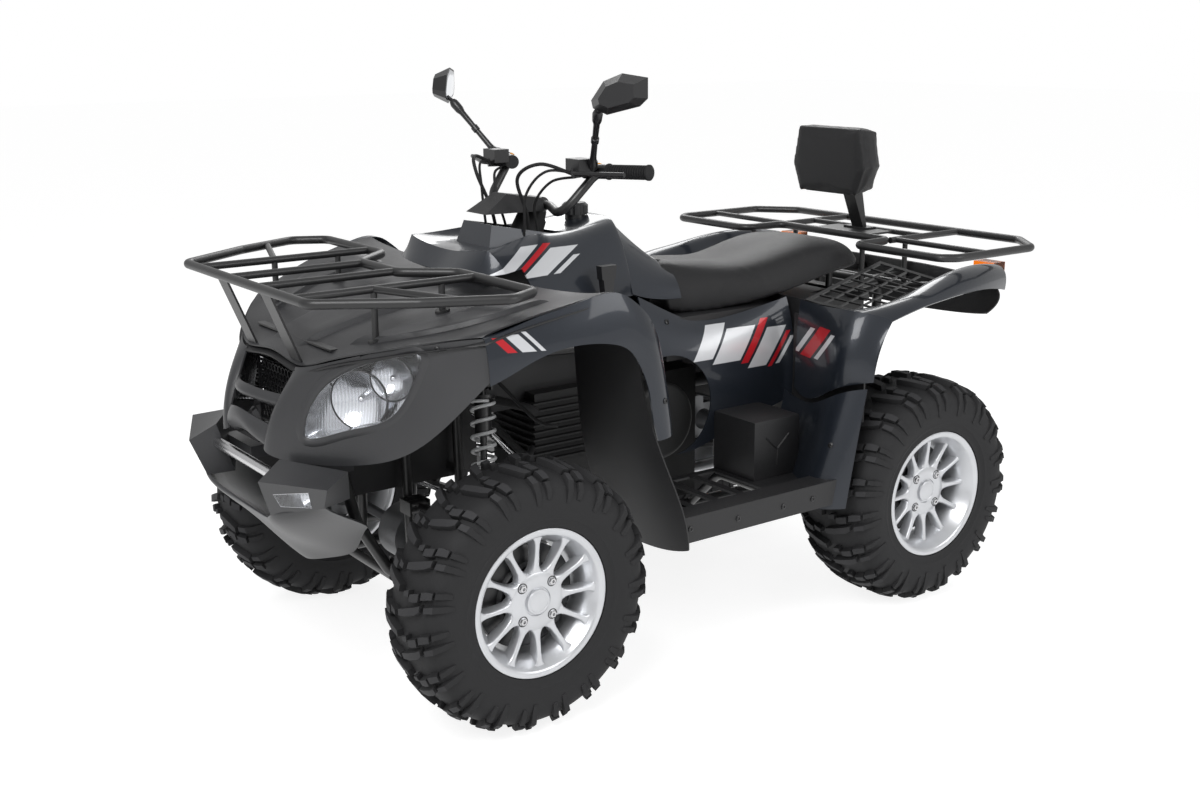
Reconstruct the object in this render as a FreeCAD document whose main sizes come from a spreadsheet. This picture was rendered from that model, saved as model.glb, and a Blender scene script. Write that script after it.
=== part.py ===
import FreeCAD, Part
import math
import os

import Sketcher
from FreeCAD import Placement, Rotation, Vector

# A utility quad bike in millimetres.
# +X is the rider's left, +Y points to the rear and +Z is up.
# The origin lies on the ground, midway between the two axles.

os.makedirs("parts", exist_ok=True)
doc = FreeCAD.newDocument("quad_bike")
sheet = doc.addObject("Spreadsheet::Sheet", "sizes")

# Driving sizes. Names that end in _deg are angles, in _count are counts and in _share are ratios.
SIZES = {
    # overall
    "wheelbase": 1280,
    "half_width": 600,
    "tyre_radius": 312,
    "gap": 0.3,
    "overrun": 20,
    # tyres and rims
    "front_tyre_width": 200,
    "rear_tyre_width": 250,
    "tyre_crown_drop": 12,
    "tyre_shoulder": 34,
    "rim_seat_radius": 154,
    "rim_flange_radius": 172,
    "rim_flange_width": 9,
    "rim_edge_inset": 9,
    "rim_wall": 6,
    "rim_well_radius": 132,
    "rim_well_share": 0.45,
    "rim_face_depth": 22,
    "rim_face_wall": 12,
    "rear_dish": 16,
    "spoke_count": 12,
    "spoke_width": 17,
    "spoke_root_radius": 66,
    "spoke_thickness": 16,
    "hub_radius": 74,
    "hub_cap_radius": 30,
    "hub_cap_height": 7,
    "stub_radius": 20,
    "disc_radius": 92,
    "disc_wall": 5,
    "disc_inset": 74,
    "lug_pitch_radius": 55,
    "lug_radius": 8,
    "lug_count": 4,
    # suspension and drive
    "kingpin_x": 432,
    "kingpin_half_height": 85,
    "knuckle_half_width": 17,
    "knuckle_half_depth": 24,
    "spindle_radius": 34,
    "steer_arm_length": 95,
    "steer_arm_half": 9,
    "steer_arm_lift": 44,
    "caliper_length": 60,
    "caliper_inner_x": 455,
    "arm_tube_radius": 12,
    "arm_pivot_x": 164,
    "arm_low_z": 300,
    "arm_high_z": 438,
    "arm_low_spread": 105,
    "arm_high_spread": 72,
    "arm_drop": 8,
    "ball_radius": 15,
    "ball_height": 28,
    "bush_radius": 17,
    "bush_length": 44,
    "bush_pin_radius": 6,
    "tie_rod_radius": 7,
    "tie_rod_eye": 11,
    "shock_body_radius": 20,
    "shock_rod_radius": 8,
    "shock_body_share": 0.42,
    "coil_radius": 31,
    "coil_wire": 9,
    "spring_seat_height": 8,
    "shock_eye_radius": 14,
    "eye_length": 30,
    "eye_reach": 40,
    "differential_radius": 72,
    "differential_width": 88,
    "differential_neck_radius": 34,
    "differential_neck_length": 60,
    "differential_lug": 16,
    "shaft_radius": 13,
    "boot_radius": 34,
    "boot_neck_radius": 18,
    "boot_length": 58,
    "joint_room": 46,
    # frame
    "frame_tube_radius": 14,
    "brace_radius": 12,
    "frame_bend": 60,
    "bearing_radius": 27,
    "bearing_length": 40,
    "bearing_play": 0.4,
    "low_bearing_share": 0.07,
    "high_bearing_share": 0.52,
    "strap_wall": 5,
    "tail_bar_half": 250,
    "tail_bar_front_y": 60,
    "tail_bar_rear_y": 236,
    "step_bar_front_y": -130,
    "step_bar_rear_y": 160,
    "step_bar_x": 250,
    "step_bar_end_x": 490,
    "hitch_width": 60,
    "hitch_wall": 10,
    "hitch_reach": 90,
    "hitch_hole_radius": 10,
    "hitch_z": 262,
    # engine and exhaust
    "engine_half_width": 100,
    "engine_front": 310,
    "engine_rear": 440,
    "engine_high_z": 640,
    "belt_cover_radius": 105,
    "belt_cover_depth": 60,
    "belt_cover_y": 40,
    "belt_cover_z": 520,
    "belt_cover_fillet": 14,
    "muffler_radius": 58,
    "muffler_x": 0,
    "muffler_z": 628,
    "muffler_front": -80,
    "muffler_rear": 200,
    "pipe_radius": 19,
    "pipe_bend": 50,
    "tail_pipe_radius": 17,
    "tail_pipe_length": 70,
    # body panels
    "skin": 4,
    "seam": 0.8,
    "trim_depth": 40,
    "lip_trim_depth": 12,
    "boss_half": 14,
    "boss_reach": 60,
    "lamp_x": 203,
    "lamp_y": -368,
    "lamp_z": 675,
    "lamp_length": 284,
    "lamp_height": 192,
    "lamp_heading_deg": 39.3,
    "lamp_recess": 2,
    "lamp_depth": 52,
    "grille_half_width": 118,
    "grille_low_z": 642,
    "grille_high_z": 808,
    "grille_back": 330,
    "grille_wall": 5,
    "grille_bar": 6,
    "grille_clip_radius": 5,
    "grille_clip_length": 120,
    "grille_columns_count": 6,
    "grille_rows_count": 5,
    "stem_room": 30,
    "opening_radius": 132,
    "opening_y": 4,
    "opening_z": 585,
    "fuel_cap_radius": 34,
    "fuel_cap_height": 30,
    "fuel_cap_bevel": 7,
    "fuel_cap_notch_share": 0.5,
    "fuel_cap_notch_count": 8,
    "fuel_cap_y": -129,
    "fuel_neck_radius": 26,
    "bumper_arm_z": 560,
    "bumper_arm_width": 26,
    "bumper_arm_height": 30,
    "fog_lamp_depth": 40,
    "fog_lamp_proud": 4,
    "bumper_bar_radius": 13,
    "bumper_bar_y": -415,
    "bumper_bar_z": 575,
    "bumper_bar_half": 200,
    # footboards and seat
    "board_inner_x": 246,
    "board_outer_x": 566,
    "board_rail_x": 500,
    "board_front_y": -250,
    "board_rear_y": 300,
    "board_top_z": 394,
    "board_wall": 6,
    "board_rail_low_z": 350,
    "board_rail_high_z": 415,
    "board_rail_wall": 6,
    "board_slots_count": 4,
    "board_slot_bar": 22,
    "step_low_y": 150,
    "step_high_y": 300,
    "step_high_z": 548,
    "step_outer_x": 400,
    "lever_x": 238,
    "lever_y": -203,
    "lever_high_z": 975,
    "lever_bend": 30,
    "lever_radius": 7,
    "handle_height": 34,
    "handle_width": 40,
    "handle_wall": 22,
    "sleeve_height": 56,
    "sleeve_width": 18,
    "mesh_bar": 5,
    "mesh_frame": 12,
    "mesh_columns_count": 4,
    "mesh_rows_count": 7,
    "mesh_wall": 5,
    "post_wall": 14,
    "post_width": 46,
    "post_foot_y": 276,
    "pad_chamfer": 34,
    "pad_back_inset": 26,
    "tail_lamp_x": 402,
    "tail_lamp_width": 70,
    "tail_lamp_depth": 52,
    "tail_lamp_y": 372,
    "tail_lamp_z": 841,
    "tail_lamp_height": 44,
    # racks
    "rack_tube_radius": 11,
    "rack_bar_radius": 9,
    "rack_cross_radius": 8,
    "rack_bend": 34,
    "rack_rail_x": 262,
    "rack_inner_rail_x": 80,
    "rack_cross_y": -210,
    "rack_cross_back_y": -125,
    "rack_cross_end_x": 500,
    "rack_post_y": -40,
    "rack_leg_x": 500,
    "rack_leg_y": -80,
    "rack_clamp_x": 122,
    "rack_clamp_width": 52,
    "rack_clamp_wall": 5,
    "rear_rail_x": 227,
    "rear_cross_y": 195,
    "rear_cross_back_y": 315,
    "rear_plate_half": 110,
    "rear_plate_wall": 6,
    "post_radius": 10,
    "rack_post_radius": 7.5,
    "post_foot_radius": 17,
    "post_foot_height": 6,
    # steering
    "steer_axis_top_y": 395,
    "steer_axis_top_z": 1110,
    "steer_axis_low_y": 64,
    "steer_axis_low_z": 430,
    "stem_radius": 16,
    "pitman_length": 90,
    "pitman_half_width": 30,
    "pitman_wall": 10,
    "bar_radius": 11,
    "bar_bend": 45,
    "clamp_length": 60,
    "clamp_radius": 19,
    "grip_radius": 17,
    "grip_length": 118,
    "perch_share": 0.72,
    "perch_length": 26,
    "perch_radius": 18,
    "switch_length": 44,
    "lever_reach": 74,
    "lever_span": 150,
    "lever_blade_radius": 6,
    "reservoir_width": 56,
    "reservoir_depth": 44,
    "reservoir_height": 34,
    "mirror_stem_radius": 6,
    "mirror_ball_radius": 12,
    "mirror_stem_bend": 30,
    "mirror_depth": 40,
    "mirror_back_share": 0.62,
    "mirror_middle_share": 0.5,
    "mirror_drop_share": 0.2,
    "pod_nose_share": 0.7,
    "pod_brow_share": 0.45,
    "pod_top_share": 0.84,
    "pod_fall": 14,
    "grip_cap": 4,
    "fuel_cap_z": 1073,
    "fuel_neck_drop": 40,
    "frame_low_share": 0.02,
    "bearing_tube_half": 117,
    "spring_seat_offset": 26,
    "bumper_arm_reach": 30,
    "bumper_arm_grip": 84,
    "fog_lamp_heading_deg": 23.3,
    "fog_lamp_length": 111,
    "fog_lamp_height": 55,
    "seat_floor_share": 0.92,
    "seat_tab_front_share": 0.2,
    "seat_tab_rear_share": 0.8,
    "board_slot_front_y": -200,
    "panel_tab_front_y": 130,
    "panel_tab_rear_y": 380,
    "panel_tab_reach": 280,
    "fender_tab_z": 862,
    "tail_tab_x": 90,
    "post_drop": 190,
    "rack_clamp_tilt_deg": 22,
    "pad_waist_share": 0.42,
    "pad_top_share": 0.7,
    "pad_back_share": 0.86,
}

# The box that each bent or moulded piece fills.
# x and z are plain places, and y is a distance behind the named axle.
BOXES = {
    # piece: (x low, x high, axle, y low, axle, y high, z low, z high)
    "frame": (0, 130, "front", -250, "rear", 270, 250, 870),
    "front_shock": (255, 325, "front", 20, "front", 63, 455, 735),
    "rear_shock": (240, 330, "rear", -20, "rear", 0, 455, 720),
    "hood": (0, 600, "front", -360, "front", 240, 800, 1000),
    "front_fender": (400, 600, "front", -110, "front", 390, 600, 1000),
    "front_mudguard": (250, 600, "front", 240, "front", 440, 300, 900),
    "cowl": (0, 600, "front", -440, "front", -40, 600, 900),
    "front_bumper": (0, 400, "front", -480, "front", -220, 300, 630),
    "tank": (0, 250, "front", 120, "front", 740, 840, 1100),
    "seat": (0, 250, "front", 660, "rear", 200, 760, 980),
    "side_panel": (0, 250, "front", 560, "rear", -190, 400, 960),
    "rear_fender": (250, 600, "rear", -300, "rear", 400, 560, 910),
    "rear_guard": (250, 600, "rear", -430, "rear", -230, 320, 670),
    "mesh_panel": (280, 460, "rear", -240, "rear", 145, 780, 910),
    "tail_panel": (0, 470, "rear", 60, "rear", 420, 700, 860),
    "front_rack": (0, 552, "front", -403, "front", 50, 800, 990),
    "rear_rack": (0, 565, "rear", 28, "rear", 465, 800, 945),
    "backrest": (0, 155, "rear", 135, "rear", 230, 1057, 1262),
    "bar": (0, 340, "front", 350, "front", 492, 1096, 1204),
    "mirror": (330, 430, "front", 328, "front", 415, 1345, 1438),
    "mirror_stem": (212, 329, "front", 415, "front", 348, 1212, 1353),
    "pod": (0, 66, "front", 212, "front", 372, 1097, 1142),
}


def share_names(piece):
    return [f"{piece}_{edge}" for edge in ("x_low", "x_high", "y_low", "y_high", "z_low", "z_high")]


def fill_sheet():
    """Writes every driving size into the sheet, with its name as the alias."""
    cells = dict(SIZES)
    for piece, row in BOXES.items():
        plain = [value for value in row if not isinstance(value, str)]
        cells.update(zip(share_names(piece), plain))
    for number, (name, value) in enumerate(cells.items(), start=1):
        sheet.set(f"A{number}", name)
        sheet.set(f"B{number}", str(value))
        sheet.setAlias(f"B{number}", name)
    doc.recompute()


class Sheet:
    """Reads a driving size back from the sheet by its name."""

    def __getattr__(self, name):
        return float(sheet.get(name))


fill_sheet()
s = Sheet()
AXLE_Y = {"front": -s.wheelbase / 2, "rear": s.wheelbase / 2}


def corners(piece):
    """Low and high corner of a piece's box."""
    row = BOXES[piece]
    x_low, x_high, y_low, y_high, z_low, z_high = (getattr(s, name) for name in share_names(piece))
    low = Vector(x_low, AXLE_Y[row[2]] + y_low, z_low)
    high = Vector(x_high, AXLE_Y[row[4]] + y_high, z_high)
    return low, high


def spot(piece, shares):
    """The point at these shares of a piece's box."""
    low, high = corners(piece)
    return Vector(*(a + (b - a) * share for a, b, share in zip(low, high, shares)))


def spots(piece, rows):
    return [[spot(piece, shares) for shares in row] for row in rows]


# Surfaces through rows of points.


def through(points):
    """A curve through the points, with its parameter evenly spaced."""
    curve = Part.BSplineCurve()
    curve.interpolate(Points=points, Parameters=[float(i) for i in range(len(points))])
    return curve


def patch(rows):
    """A smooth face through a grid of points."""
    across = [through(row) for row in rows]
    poles = [curve.getPoles() for curve in across]
    along = [through(list(column)) for column in zip(*poles)]
    net = [curve.getPoles() for curve in along]
    surface = Part.BSplineSurface()
    surface.buildFromPolesMultsKnots(
        net,
        across[0].getMultiplicities(),
        along[0].getMultiplicities(),
        across[0].getKnots(),
        along[0].getKnots(),
        False,
        False,
        across[0].Degree,
        along[0].Degree,
    )
    return surface.toShape()


def pieces_between(count, creases):
    stops = [0, *creases, count - 1]
    return list(zip(stops, stops[1:]))


def normals(rows):
    """Unit normals of a grid, by its neighbours."""
    found = []
    for i, row in enumerate(rows):
        line = []
        for j in range(len(row)):
            along = rows[min(i + 1, len(rows) - 1)][j] - rows[max(i - 1, 0)][j]
            across = row[min(j + 1, len(row) - 1)] - row[max(j - 1, 0)]
            line.append(along.cross(across).normalize())
        found.append(line)
    return found


def shifted(rows, distance):
    """The grid moved along its normals."""
    return [
        [point + normal * distance for point, normal in zip(row, line)]
        for row, line in zip(rows, normals(rows))
    ]


def solid_between(outer, inner, row_creases=(), column_creases=()):
    """A closed solid between two grids of the same shape."""
    faces = []
    row_spans = pieces_between(len(outer), row_creases)
    column_spans = pieces_between(len(outer[0]), column_creases)
    for a, b in row_spans:
        for c, d in column_spans:
            for grid in (outer, inner):
                faces.append(patch([row[c : d + 1] for row in grid[a : b + 1]]))
    for a, b in row_spans:
        for j in (0, len(outer[0]) - 1):
            edges = [through([row[j] for row in grid[a : b + 1]]).toShape() for grid in (outer, inner)]
            faces.append(Part.makeRuledSurface(*edges))
    for c, d in column_spans:
        for i in (0, len(outer) - 1):
            edges = [through(grid[i][c : d + 1]).toShape() for grid in (outer, inner)]
            faces.append(Part.makeRuledSurface(*edges))
    shell = Part.makeCompound(faces)
    shell.sewShape()
    solid = Part.makeSolid(shell.Shells[0])
    if solid.Volume < 0:
        solid.reverse()
    return solid


def skin(rows, wall, row_creases=(), column_creases=()):
    """A moulded panel: the grid is its outer face and the wall lies behind it."""
    return solid_between(rows, shifted(rows, -wall), row_creases, column_creases)


def mirrored(shape):
    return shape.mirror(Vector(0, 0, 0), Vector(1, 0, 0))


# Tubes and other swept pieces.


def bent_path(points, radius, closed=False):
    """Straight runs joined by arcs that touch both runs."""
    count = len(points)
    stops = range(count) if closed else range(1, count - 1)
    bends = {}
    for i in stops:
        before, here, after = points[i - 1], points[i], points[(i + 1) % count]
        back, on = (before - here).normalize(), (after - here).normalize()
        half = back.getAngle(on) / 2
        reach = radius / math.tan(half)
        middle = here + (back + on).normalize() * (radius / math.sin(half) - radius)
        bends[i] = (here + back * reach, middle, here + on * reach)
    edges = []
    last = bends[count - 1][2] if closed else points[0]
    for i in range(count):
        if i in bends:
            start, middle, end = bends[i]
            edges.append(Part.makeLine(last, start))
            edges.append(Part.Arc(start, middle, end).toShape())
            last = end
    if not closed:
        edges.append(Part.makeLine(last, points[-1]))
    return Part.Wire(edges)


def tube(points, radius, bend, closed=False):
    """A round bar along the points."""
    path = bent_path(points, bend, closed)
    first = path.Edges[0]
    start = first.valueAt(first.FirstParameter)
    ring = Part.Wire([Part.makeCircle(radius, start, first.tangentAt(first.FirstParameter))])
    return path.makePipeShell([ring], True, False)


def rod(start, end, radius):
    """A straight round bar between two points."""
    along = end - start
    return Part.makeCylinder(radius, along.Length, start, along)


def both_sides(shapes):
    return shapes + [mirrored(shape) for shape in shapes]


def joined(shapes):
    """One solid from pieces that overlap."""
    fused = shapes[0].multiFuse(shapes[1:])
    clean = fused.removeSplitter()
    return clean if clean.isValid() else fused


def welded(first, *groups):
    """Tubes that meet at any angle, fused group by group, with the seams left as they fall."""
    whole = first
    for group in groups:
        whole = whole.multiFuse(group)
    return whole


def loose(shapes):
    return Part.makeCompound(shapes)


def brick(low, high):
    size = high - low
    return Part.makeBox(size.x, size.y, size.z, low)


# The pieces of the model, each with a label that names its file.

pieces = []


def shaped(label, shape):
    """A piece whose shape is worked out here from the sheet's sizes."""
    piece = doc.addObject("Part::Feature", label)
    piece.Label = label
    piece.Shape = shape
    pieces.append(piece)
    return piece


def new_body(label):
    body = doc.addObject("PartDesign::Body", label)
    body.Label = label
    pieces.append(body)
    return body


def origin_plane(body, role):
    return next(feature for feature in body.Origin.OriginFeatures if feature.Role == role)


def new_sketch(body, role, name, offset=None):
    """A sketch on one of the body's own planes, moved off it by an expression."""
    sketch = body.newObject("Sketcher::SketchObject", name)
    sketch.AttachmentSupport = [(origin_plane(body, role), "")]
    sketch.MapMode = "FlatFace"
    if offset:
        sketch.setExpression("AttachmentOffset.Base.z", offset)
    return sketch


def worth(expression):
    return float(sheet.evalExpression(expression.replace("sizes.", "")))


def bind(sketch, constraint, expression):
    """Adds a constraint and ties its value to the sheet."""
    index = sketch.addConstraint(constraint)
    name = f"size{index}"
    sketch.renameConstraint(index, name)
    sketch.setExpression(f"Constraints.{name}", expression)


def outline(sketch, points):
    """A closed outline. Each corner is a pair of expressions."""
    places = [Vector(worth(a), worth(b), 0) for a, b in points]
    lines = [
        Part.LineSegment(place, places[(i + 1) % len(places)]) for i, place in enumerate(places)
    ]
    first = sketch.addGeometry(lines[0], False)
    for line in lines[1:]:
        sketch.addGeometry(line, False)
    count = len(places)
    for i in range(count):
        after = first + (i + 1) % count
        sketch.addConstraint(Sketcher.Constraint("Coincident", first + i, 2, after, 1))
    for i, (place, (a, b)) in enumerate(zip(places, points)):
        bind(sketch, Sketcher.Constraint("DistanceX", -1, 1, first + i, 1, place.x), a)
        bind(sketch, Sketcher.Constraint("DistanceY", -1, 1, first + i, 1, place.y), b)


def ring(sketch, radius, x="0", y="0"):
    """A circle whose radius and centre are expressions."""
    centre = Vector(worth(x), worth(y), 0)
    index = sketch.addGeometry(Part.Circle(centre, Vector(0, 0, 1), worth(radius)), False)
    bind(sketch, Sketcher.Constraint("Radius", index, worth(radius)), radius)
    bind(sketch, Sketcher.Constraint("DistanceX", -1, 1, index, 3, centre.x), x)
    bind(sketch, Sketcher.Constraint("DistanceY", -1, 1, index, 3, centre.y), y)


def revolved(body, sketch, name, cut=False):
    """A full turn about the sketch's own horizontal axis."""
    kind = "PartDesign::Groove" if cut else "PartDesign::Revolution"
    feature = body.newObject(kind, name)
    feature.Profile = sketch
    feature.ReferenceAxis = (sketch, ["H_Axis"])
    feature.Angle = 360.0
    return feature


def padded(body, sketch, name, length, middle=False):
    feature = body.newObject("PartDesign::Pad", name)
    feature.Profile = sketch
    feature.setExpression("Length", length)
    feature.Midplane = middle
    return feature


def pocketed(body, sketch, name, length, middle=False, reverse=False):
    feature = body.newObject("PartDesign::Pocket", name)
    feature.Profile = sketch
    feature.setExpression("Length", length)
    feature.Midplane = middle
    feature.Reversed = reverse
    return feature


def polar(body, feature, name, axis, count):
    """Repeats a feature round one of the body's axes."""
    pattern = body.newObject("PartDesign::PolarPattern", name)
    pattern.Originals = [feature]
    pattern.Axis = (origin_plane(body, axis), [""])
    pattern.Angle = 360.0
    pattern.setExpression("Occurrences", count)
    body.Tip = pattern
    return pattern


def place(body, x="0", y="0", z="0", half_turn=False):
    """Moves a body to its place, turned half round for the right-hand side."""
    if half_turn:
        body.Placement = Placement(Vector(0, 0, 0), Rotation(Vector(0, 0, 1), 180))
    for axis, expression in zip("xyz", (x, y, z)):
        body.setExpression(f"Placement.Base.{axis}", expression)


# Wheels: the local X axis is the axle and points away from the vehicle.

WHEELS = {
    # wheel: (side of X, end of the wheelbase, tyre width, extra dish of the rim)
    "front_left": (1, -1, "sizes.front_tyre_width", "0"),
    "front_right": (-1, -1, "sizes.front_tyre_width", "0"),
    "rear_left": (1, 1, "sizes.rear_tyre_width", "sizes.rear_dish"),
    "rear_right": (-1, 1, "sizes.rear_tyre_width", "sizes.rear_dish"),
}


def put_wheel(body, name):
    side, end, width, _ = WHEELS[name]
    x = f"{side} * (sizes.half_width - {width} / 2)"
    place(body, x, f"{end} * sizes.wheelbase / 2", "sizes.tyre_radius", half_turn=side < 0)


def tyre(name):
    """The carcass as one ring: bead, sidewalls, shoulders and crown."""
    width = WHEELS[name][2]
    body = new_body(f"tyre_{name}")
    sketch = new_sketch(body, "XY_Plane", f"tyre_profile_{name}")
    half = f"{width} / 2"
    bead = f"{half} - sizes.rim_edge_inset - sizes.rim_flange_width - sizes.gap"
    seat = "sizes.rim_seat_radius + sizes.gap"
    flange = "sizes.rim_flange_radius + sizes.gap"
    shoulder = "sizes.tyre_radius - sizes.tyre_shoulder"
    crown = f"{half} - sizes.tyre_shoulder"
    bulge = "(sizes.rim_flange_radius + sizes.tyre_radius) / 2"
    right = [
        (bead, seat),
        (bead, flange),
        (f"{half} - sizes.rim_edge_inset", flange),
        (half, bulge),
        (f"{half} - sizes.tyre_crown_drop", shoulder),
        (crown, "sizes.tyre_radius"),
    ]
    left = [(f"-({x})", radius) for x, radius in reversed(right)]
    outline(sketch, right + left)
    revolved(body, sketch, f"tyre_ring_{name}")
    put_wheel(body, name)


def rim(name):
    """Alloy rim: drop-centre barrel, thin spokes, hub, cap, stub axle and brake disc."""
    _, end, width, dish = WHEELS[name]
    body = new_body(f"rim_{name}")
    half = f"({width} / 2 - sizes.rim_edge_inset)"
    inside = f"({half} - sizes.rim_flange_width)"
    well = f"({width} * sizes.rim_well_share / 2)"
    wall = "sizes.rim_wall"
    barrel = new_sketch(body, "XY_Plane", f"barrel_profile_{name}")
    outer = [
        (half, "sizes.rim_flange_radius"),
        (inside, "sizes.rim_flange_radius"),
        (inside, "sizes.rim_seat_radius"),
        (well, "sizes.rim_well_radius + sizes.rim_wall"),
        (f"-{well}", "sizes.rim_well_radius + sizes.rim_wall"),
        (f"-{inside}", "sizes.rim_seat_radius"),
        (f"-{inside}", "sizes.rim_flange_radius"),
        (f"-{half}", "sizes.rim_flange_radius"),
    ]
    inner = [
        (f"-{half}", f"sizes.rim_seat_radius - {wall}"),
        (f"-{well}", "sizes.rim_well_radius"),
        (well, "sizes.rim_well_radius"),
        (half, f"sizes.rim_seat_radius - {wall}"),
    ]
    outline(barrel, outer + inner)
    revolved(body, barrel, f"barrel_{name}")

    face = f"({half} - sizes.rim_face_depth - {dish})"
    back = f"({face} - sizes.rim_face_wall)"
    hub = new_sketch(body, "XY_Plane", f"hub_profile_{name}")
    inset = f"({face} - sizes.disc_inset)"
    outline(
        hub,
        [
            (f"{face} + sizes.hub_cap_height", "0"),
            (f"{face} + sizes.hub_cap_height", "sizes.hub_cap_radius"),
            (face, "sizes.hub_cap_radius"),
            (face, "sizes.hub_radius"),
            (back, "sizes.hub_radius"),
            (back, "sizes.stub_radius"),
            (f"{inset} + sizes.disc_wall", "sizes.stub_radius"),
            (f"{inset} + sizes.disc_wall", "sizes.disc_radius"),
            (inset, "sizes.disc_radius"),
            (inset, "0"),
        ],
    )
    revolved(body, hub, f"hub_{name}")

    spoke = new_sketch(body, "YZ_Plane", f"spoke_profile_{name}", f"{face} - sizes.spoke_thickness")
    root = "sizes.spoke_root_radius"
    tip = "sizes.rim_well_radius + sizes.rim_wall + sizes.rim_wall / 2"
    wide = "sizes.spoke_width / 2"
    outline(
        spoke,
        [
            (f"-{wide}", root),
            (wide, root),
            (f"{wide} / 2", tip),
            (f"-{wide} / 2", tip),
        ],
    )
    single = padded(body, spoke, f"spoke_{name}", "sizes.spoke_thickness")
    doc.recompute()
    polar(body, single, f"spokes_{name}", "X_Axis", "sizes.spoke_count")

    lug = new_sketch(body, "YZ_Plane", f"lug_profile_{name}", face)
    ring(lug, "sizes.lug_radius", "sizes.lug_pitch_radius", "0")
    hole = pocketed(body, lug, f"lug_hole_{name}", "sizes.rim_face_wall / 2")
    doc.recompute()
    polar(body, hole, f"lug_holes_{name}", "X_Axis", "sizes.lug_count")
    put_wheel(body, name)


# Ways to fit one piece to another.


def whole_width(rows):
    """A half grid from the centre plane out, completed on the other side."""
    return [[Vector(-p.x, p.y, p.z) for p in reversed(row[1:])] + row for row in rows]


def widened(rows, reach):
    """The grid with its border moved outwards, in its own surface."""

    def outwards(edge, inner):
        return [a + (a - b).normalize() * reach for a, b in zip(edge, inner)]

    rows = [outwards(rows[0], rows[1]), *rows[1:-1], outwards(rows[-1], rows[-2])]
    columns = [list(column) for column in zip(*rows)]
    columns = [outwards(columns[0], columns[1]), *columns[1:-1], outwards(columns[-1], columns[-2])]
    return [list(row) for row in zip(*columns)]


def room_for(rows, depth, row_creases=(), column_creases=()):
    """A thick copy of a panel, with the seam's clearance all round."""
    wide = widened(rows, s.seam)
    return solid_between(shifted(wide, depth), shifted(wide, -depth), row_creases, column_creases)


def largest(shape):
    return max(shape.Solids, key=lambda solid: solid.Volume)


def stopped(bar, panel, clearance, start):
    """The part of a bar from its start up to a panel, with a clearance left before it."""
    left = bar.cut(panel.translated(clearance))
    return min(left.Solids, key=lambda solid: solid.distToShape(Part.Vertex(start))[0])


def along_y(centre, radius, length):
    """A round bar along Y, centred on a point."""
    return Part.makeCylinder(radius, length, centre - Vector(0, length / 2, 0), Vector(0, 1, 0))


def ears(centre, half_length, x_low, x_high, z_low, z_high):
    """Two plates across Y that hold a bush or an eye between them."""
    made = []
    for side in (-1, 1):
        near = centre.y + side * (half_length + s.gap)
        far = near + side * s.strap_wall
        made.append(brick(Vector(x_low, min(near, far), z_low), Vector(x_high, max(near, far), z_high)))
    return made


def grown(points, out, distance):
    """A closed outline, drawn clockwise as seen from outside, with every side moved outwards."""
    moved = []
    for i, point in enumerate(points):
        before, after = points[i - 1], points[(i + 1) % len(points)]
        first = out.cross(point - before).normalize()
        second = out.cross(after - point).normalize()
        moved.append(point + (first + second) * (distance / (1 + first.dot(second))))
    return moved


def window(corner, heading_deg, length, height, shares, depth, grow=0, curved=False):
    """A flat outline that stands upright at a heading, swept square to itself both ways."""
    heading = math.radians(heading_deg)
    along = Vector(math.cos(heading), math.sin(heading), 0)
    out = Vector(along.y, -along.x, 0)
    points = [corner + along * length * a + Vector(0, 0, height * b) for a, b in shares]
    points = grown(points, out, grow)
    if curved:
        curve = Part.BSplineCurve()
        curve.interpolate(Points=points, PeriodicFlag=True)
        wire = Part.Wire([curve.toShape()])
    else:
        wire = Part.makePolygon([*points, points[0]])
    face = Part.Face(wire)
    face.translate(out * depth)
    return face.extrude(out * -2 * depth)


def front(y):
    return AXLE_Y["front"] + y


def rear(y):
    return AXLE_Y["rear"] + y


def axle_point(end, x, z):
    return Vector(x, AXLE_Y[end], z)


# Suspension and drive. The left side is drawn and the right side mirrors it.

ARMS = {
    # arm: (end, height of the frame pivots, half their spread, side of the axle its ball joint is on)
    "front_low": ("front", s.arm_low_z, s.arm_low_spread, -1),
    "front_high": ("front", s.arm_high_z, s.arm_high_spread, 1),
    "rear_low": ("rear", s.arm_low_z, s.arm_low_spread, -1),
    "rear_high": ("rear", s.arm_high_z, s.arm_high_spread, 1),
}
SHOCK_SHARES = {
    # end: (upper eye, lower eye)
    "front": ((0, 1, 1), (1, 0, 0)),
    "rear": ((0, 0, 1), (1, 1, 0)),
}


def pivots(arm):
    end, z, spread, _ = ARMS[arm]
    return [Vector(s.arm_pivot_x, AXLE_Y[end] + side * spread, z) for side in (-1, 1)]


def shock_eyes(end):
    return [spot(f"{end}_shock", shares) for shares in SHOCK_SHARES[end]]


def shock_ears(end, arm_z):
    """The ears on an upper arm that take the lower eye of the shock absorber."""
    _, eye = shock_eyes(end)
    width = s.shock_eye_radius
    plates = ears(eye, s.eye_length / 2, eye.x - width, eye.x + width, arm_z, eye.z + s.bush_pin_radius + s.strap_wall)
    half = s.eye_length / 2 + s.gap + s.strap_wall
    low = Vector(eye.x - width, eye.y - half, arm_z - s.arm_tube_radius)
    plates.append(brick(low, Vector(eye.x + width, eye.y + half, arm_z)))
    plates.append(along_y(eye, s.bush_pin_radius, 2 * half))
    return plates


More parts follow.
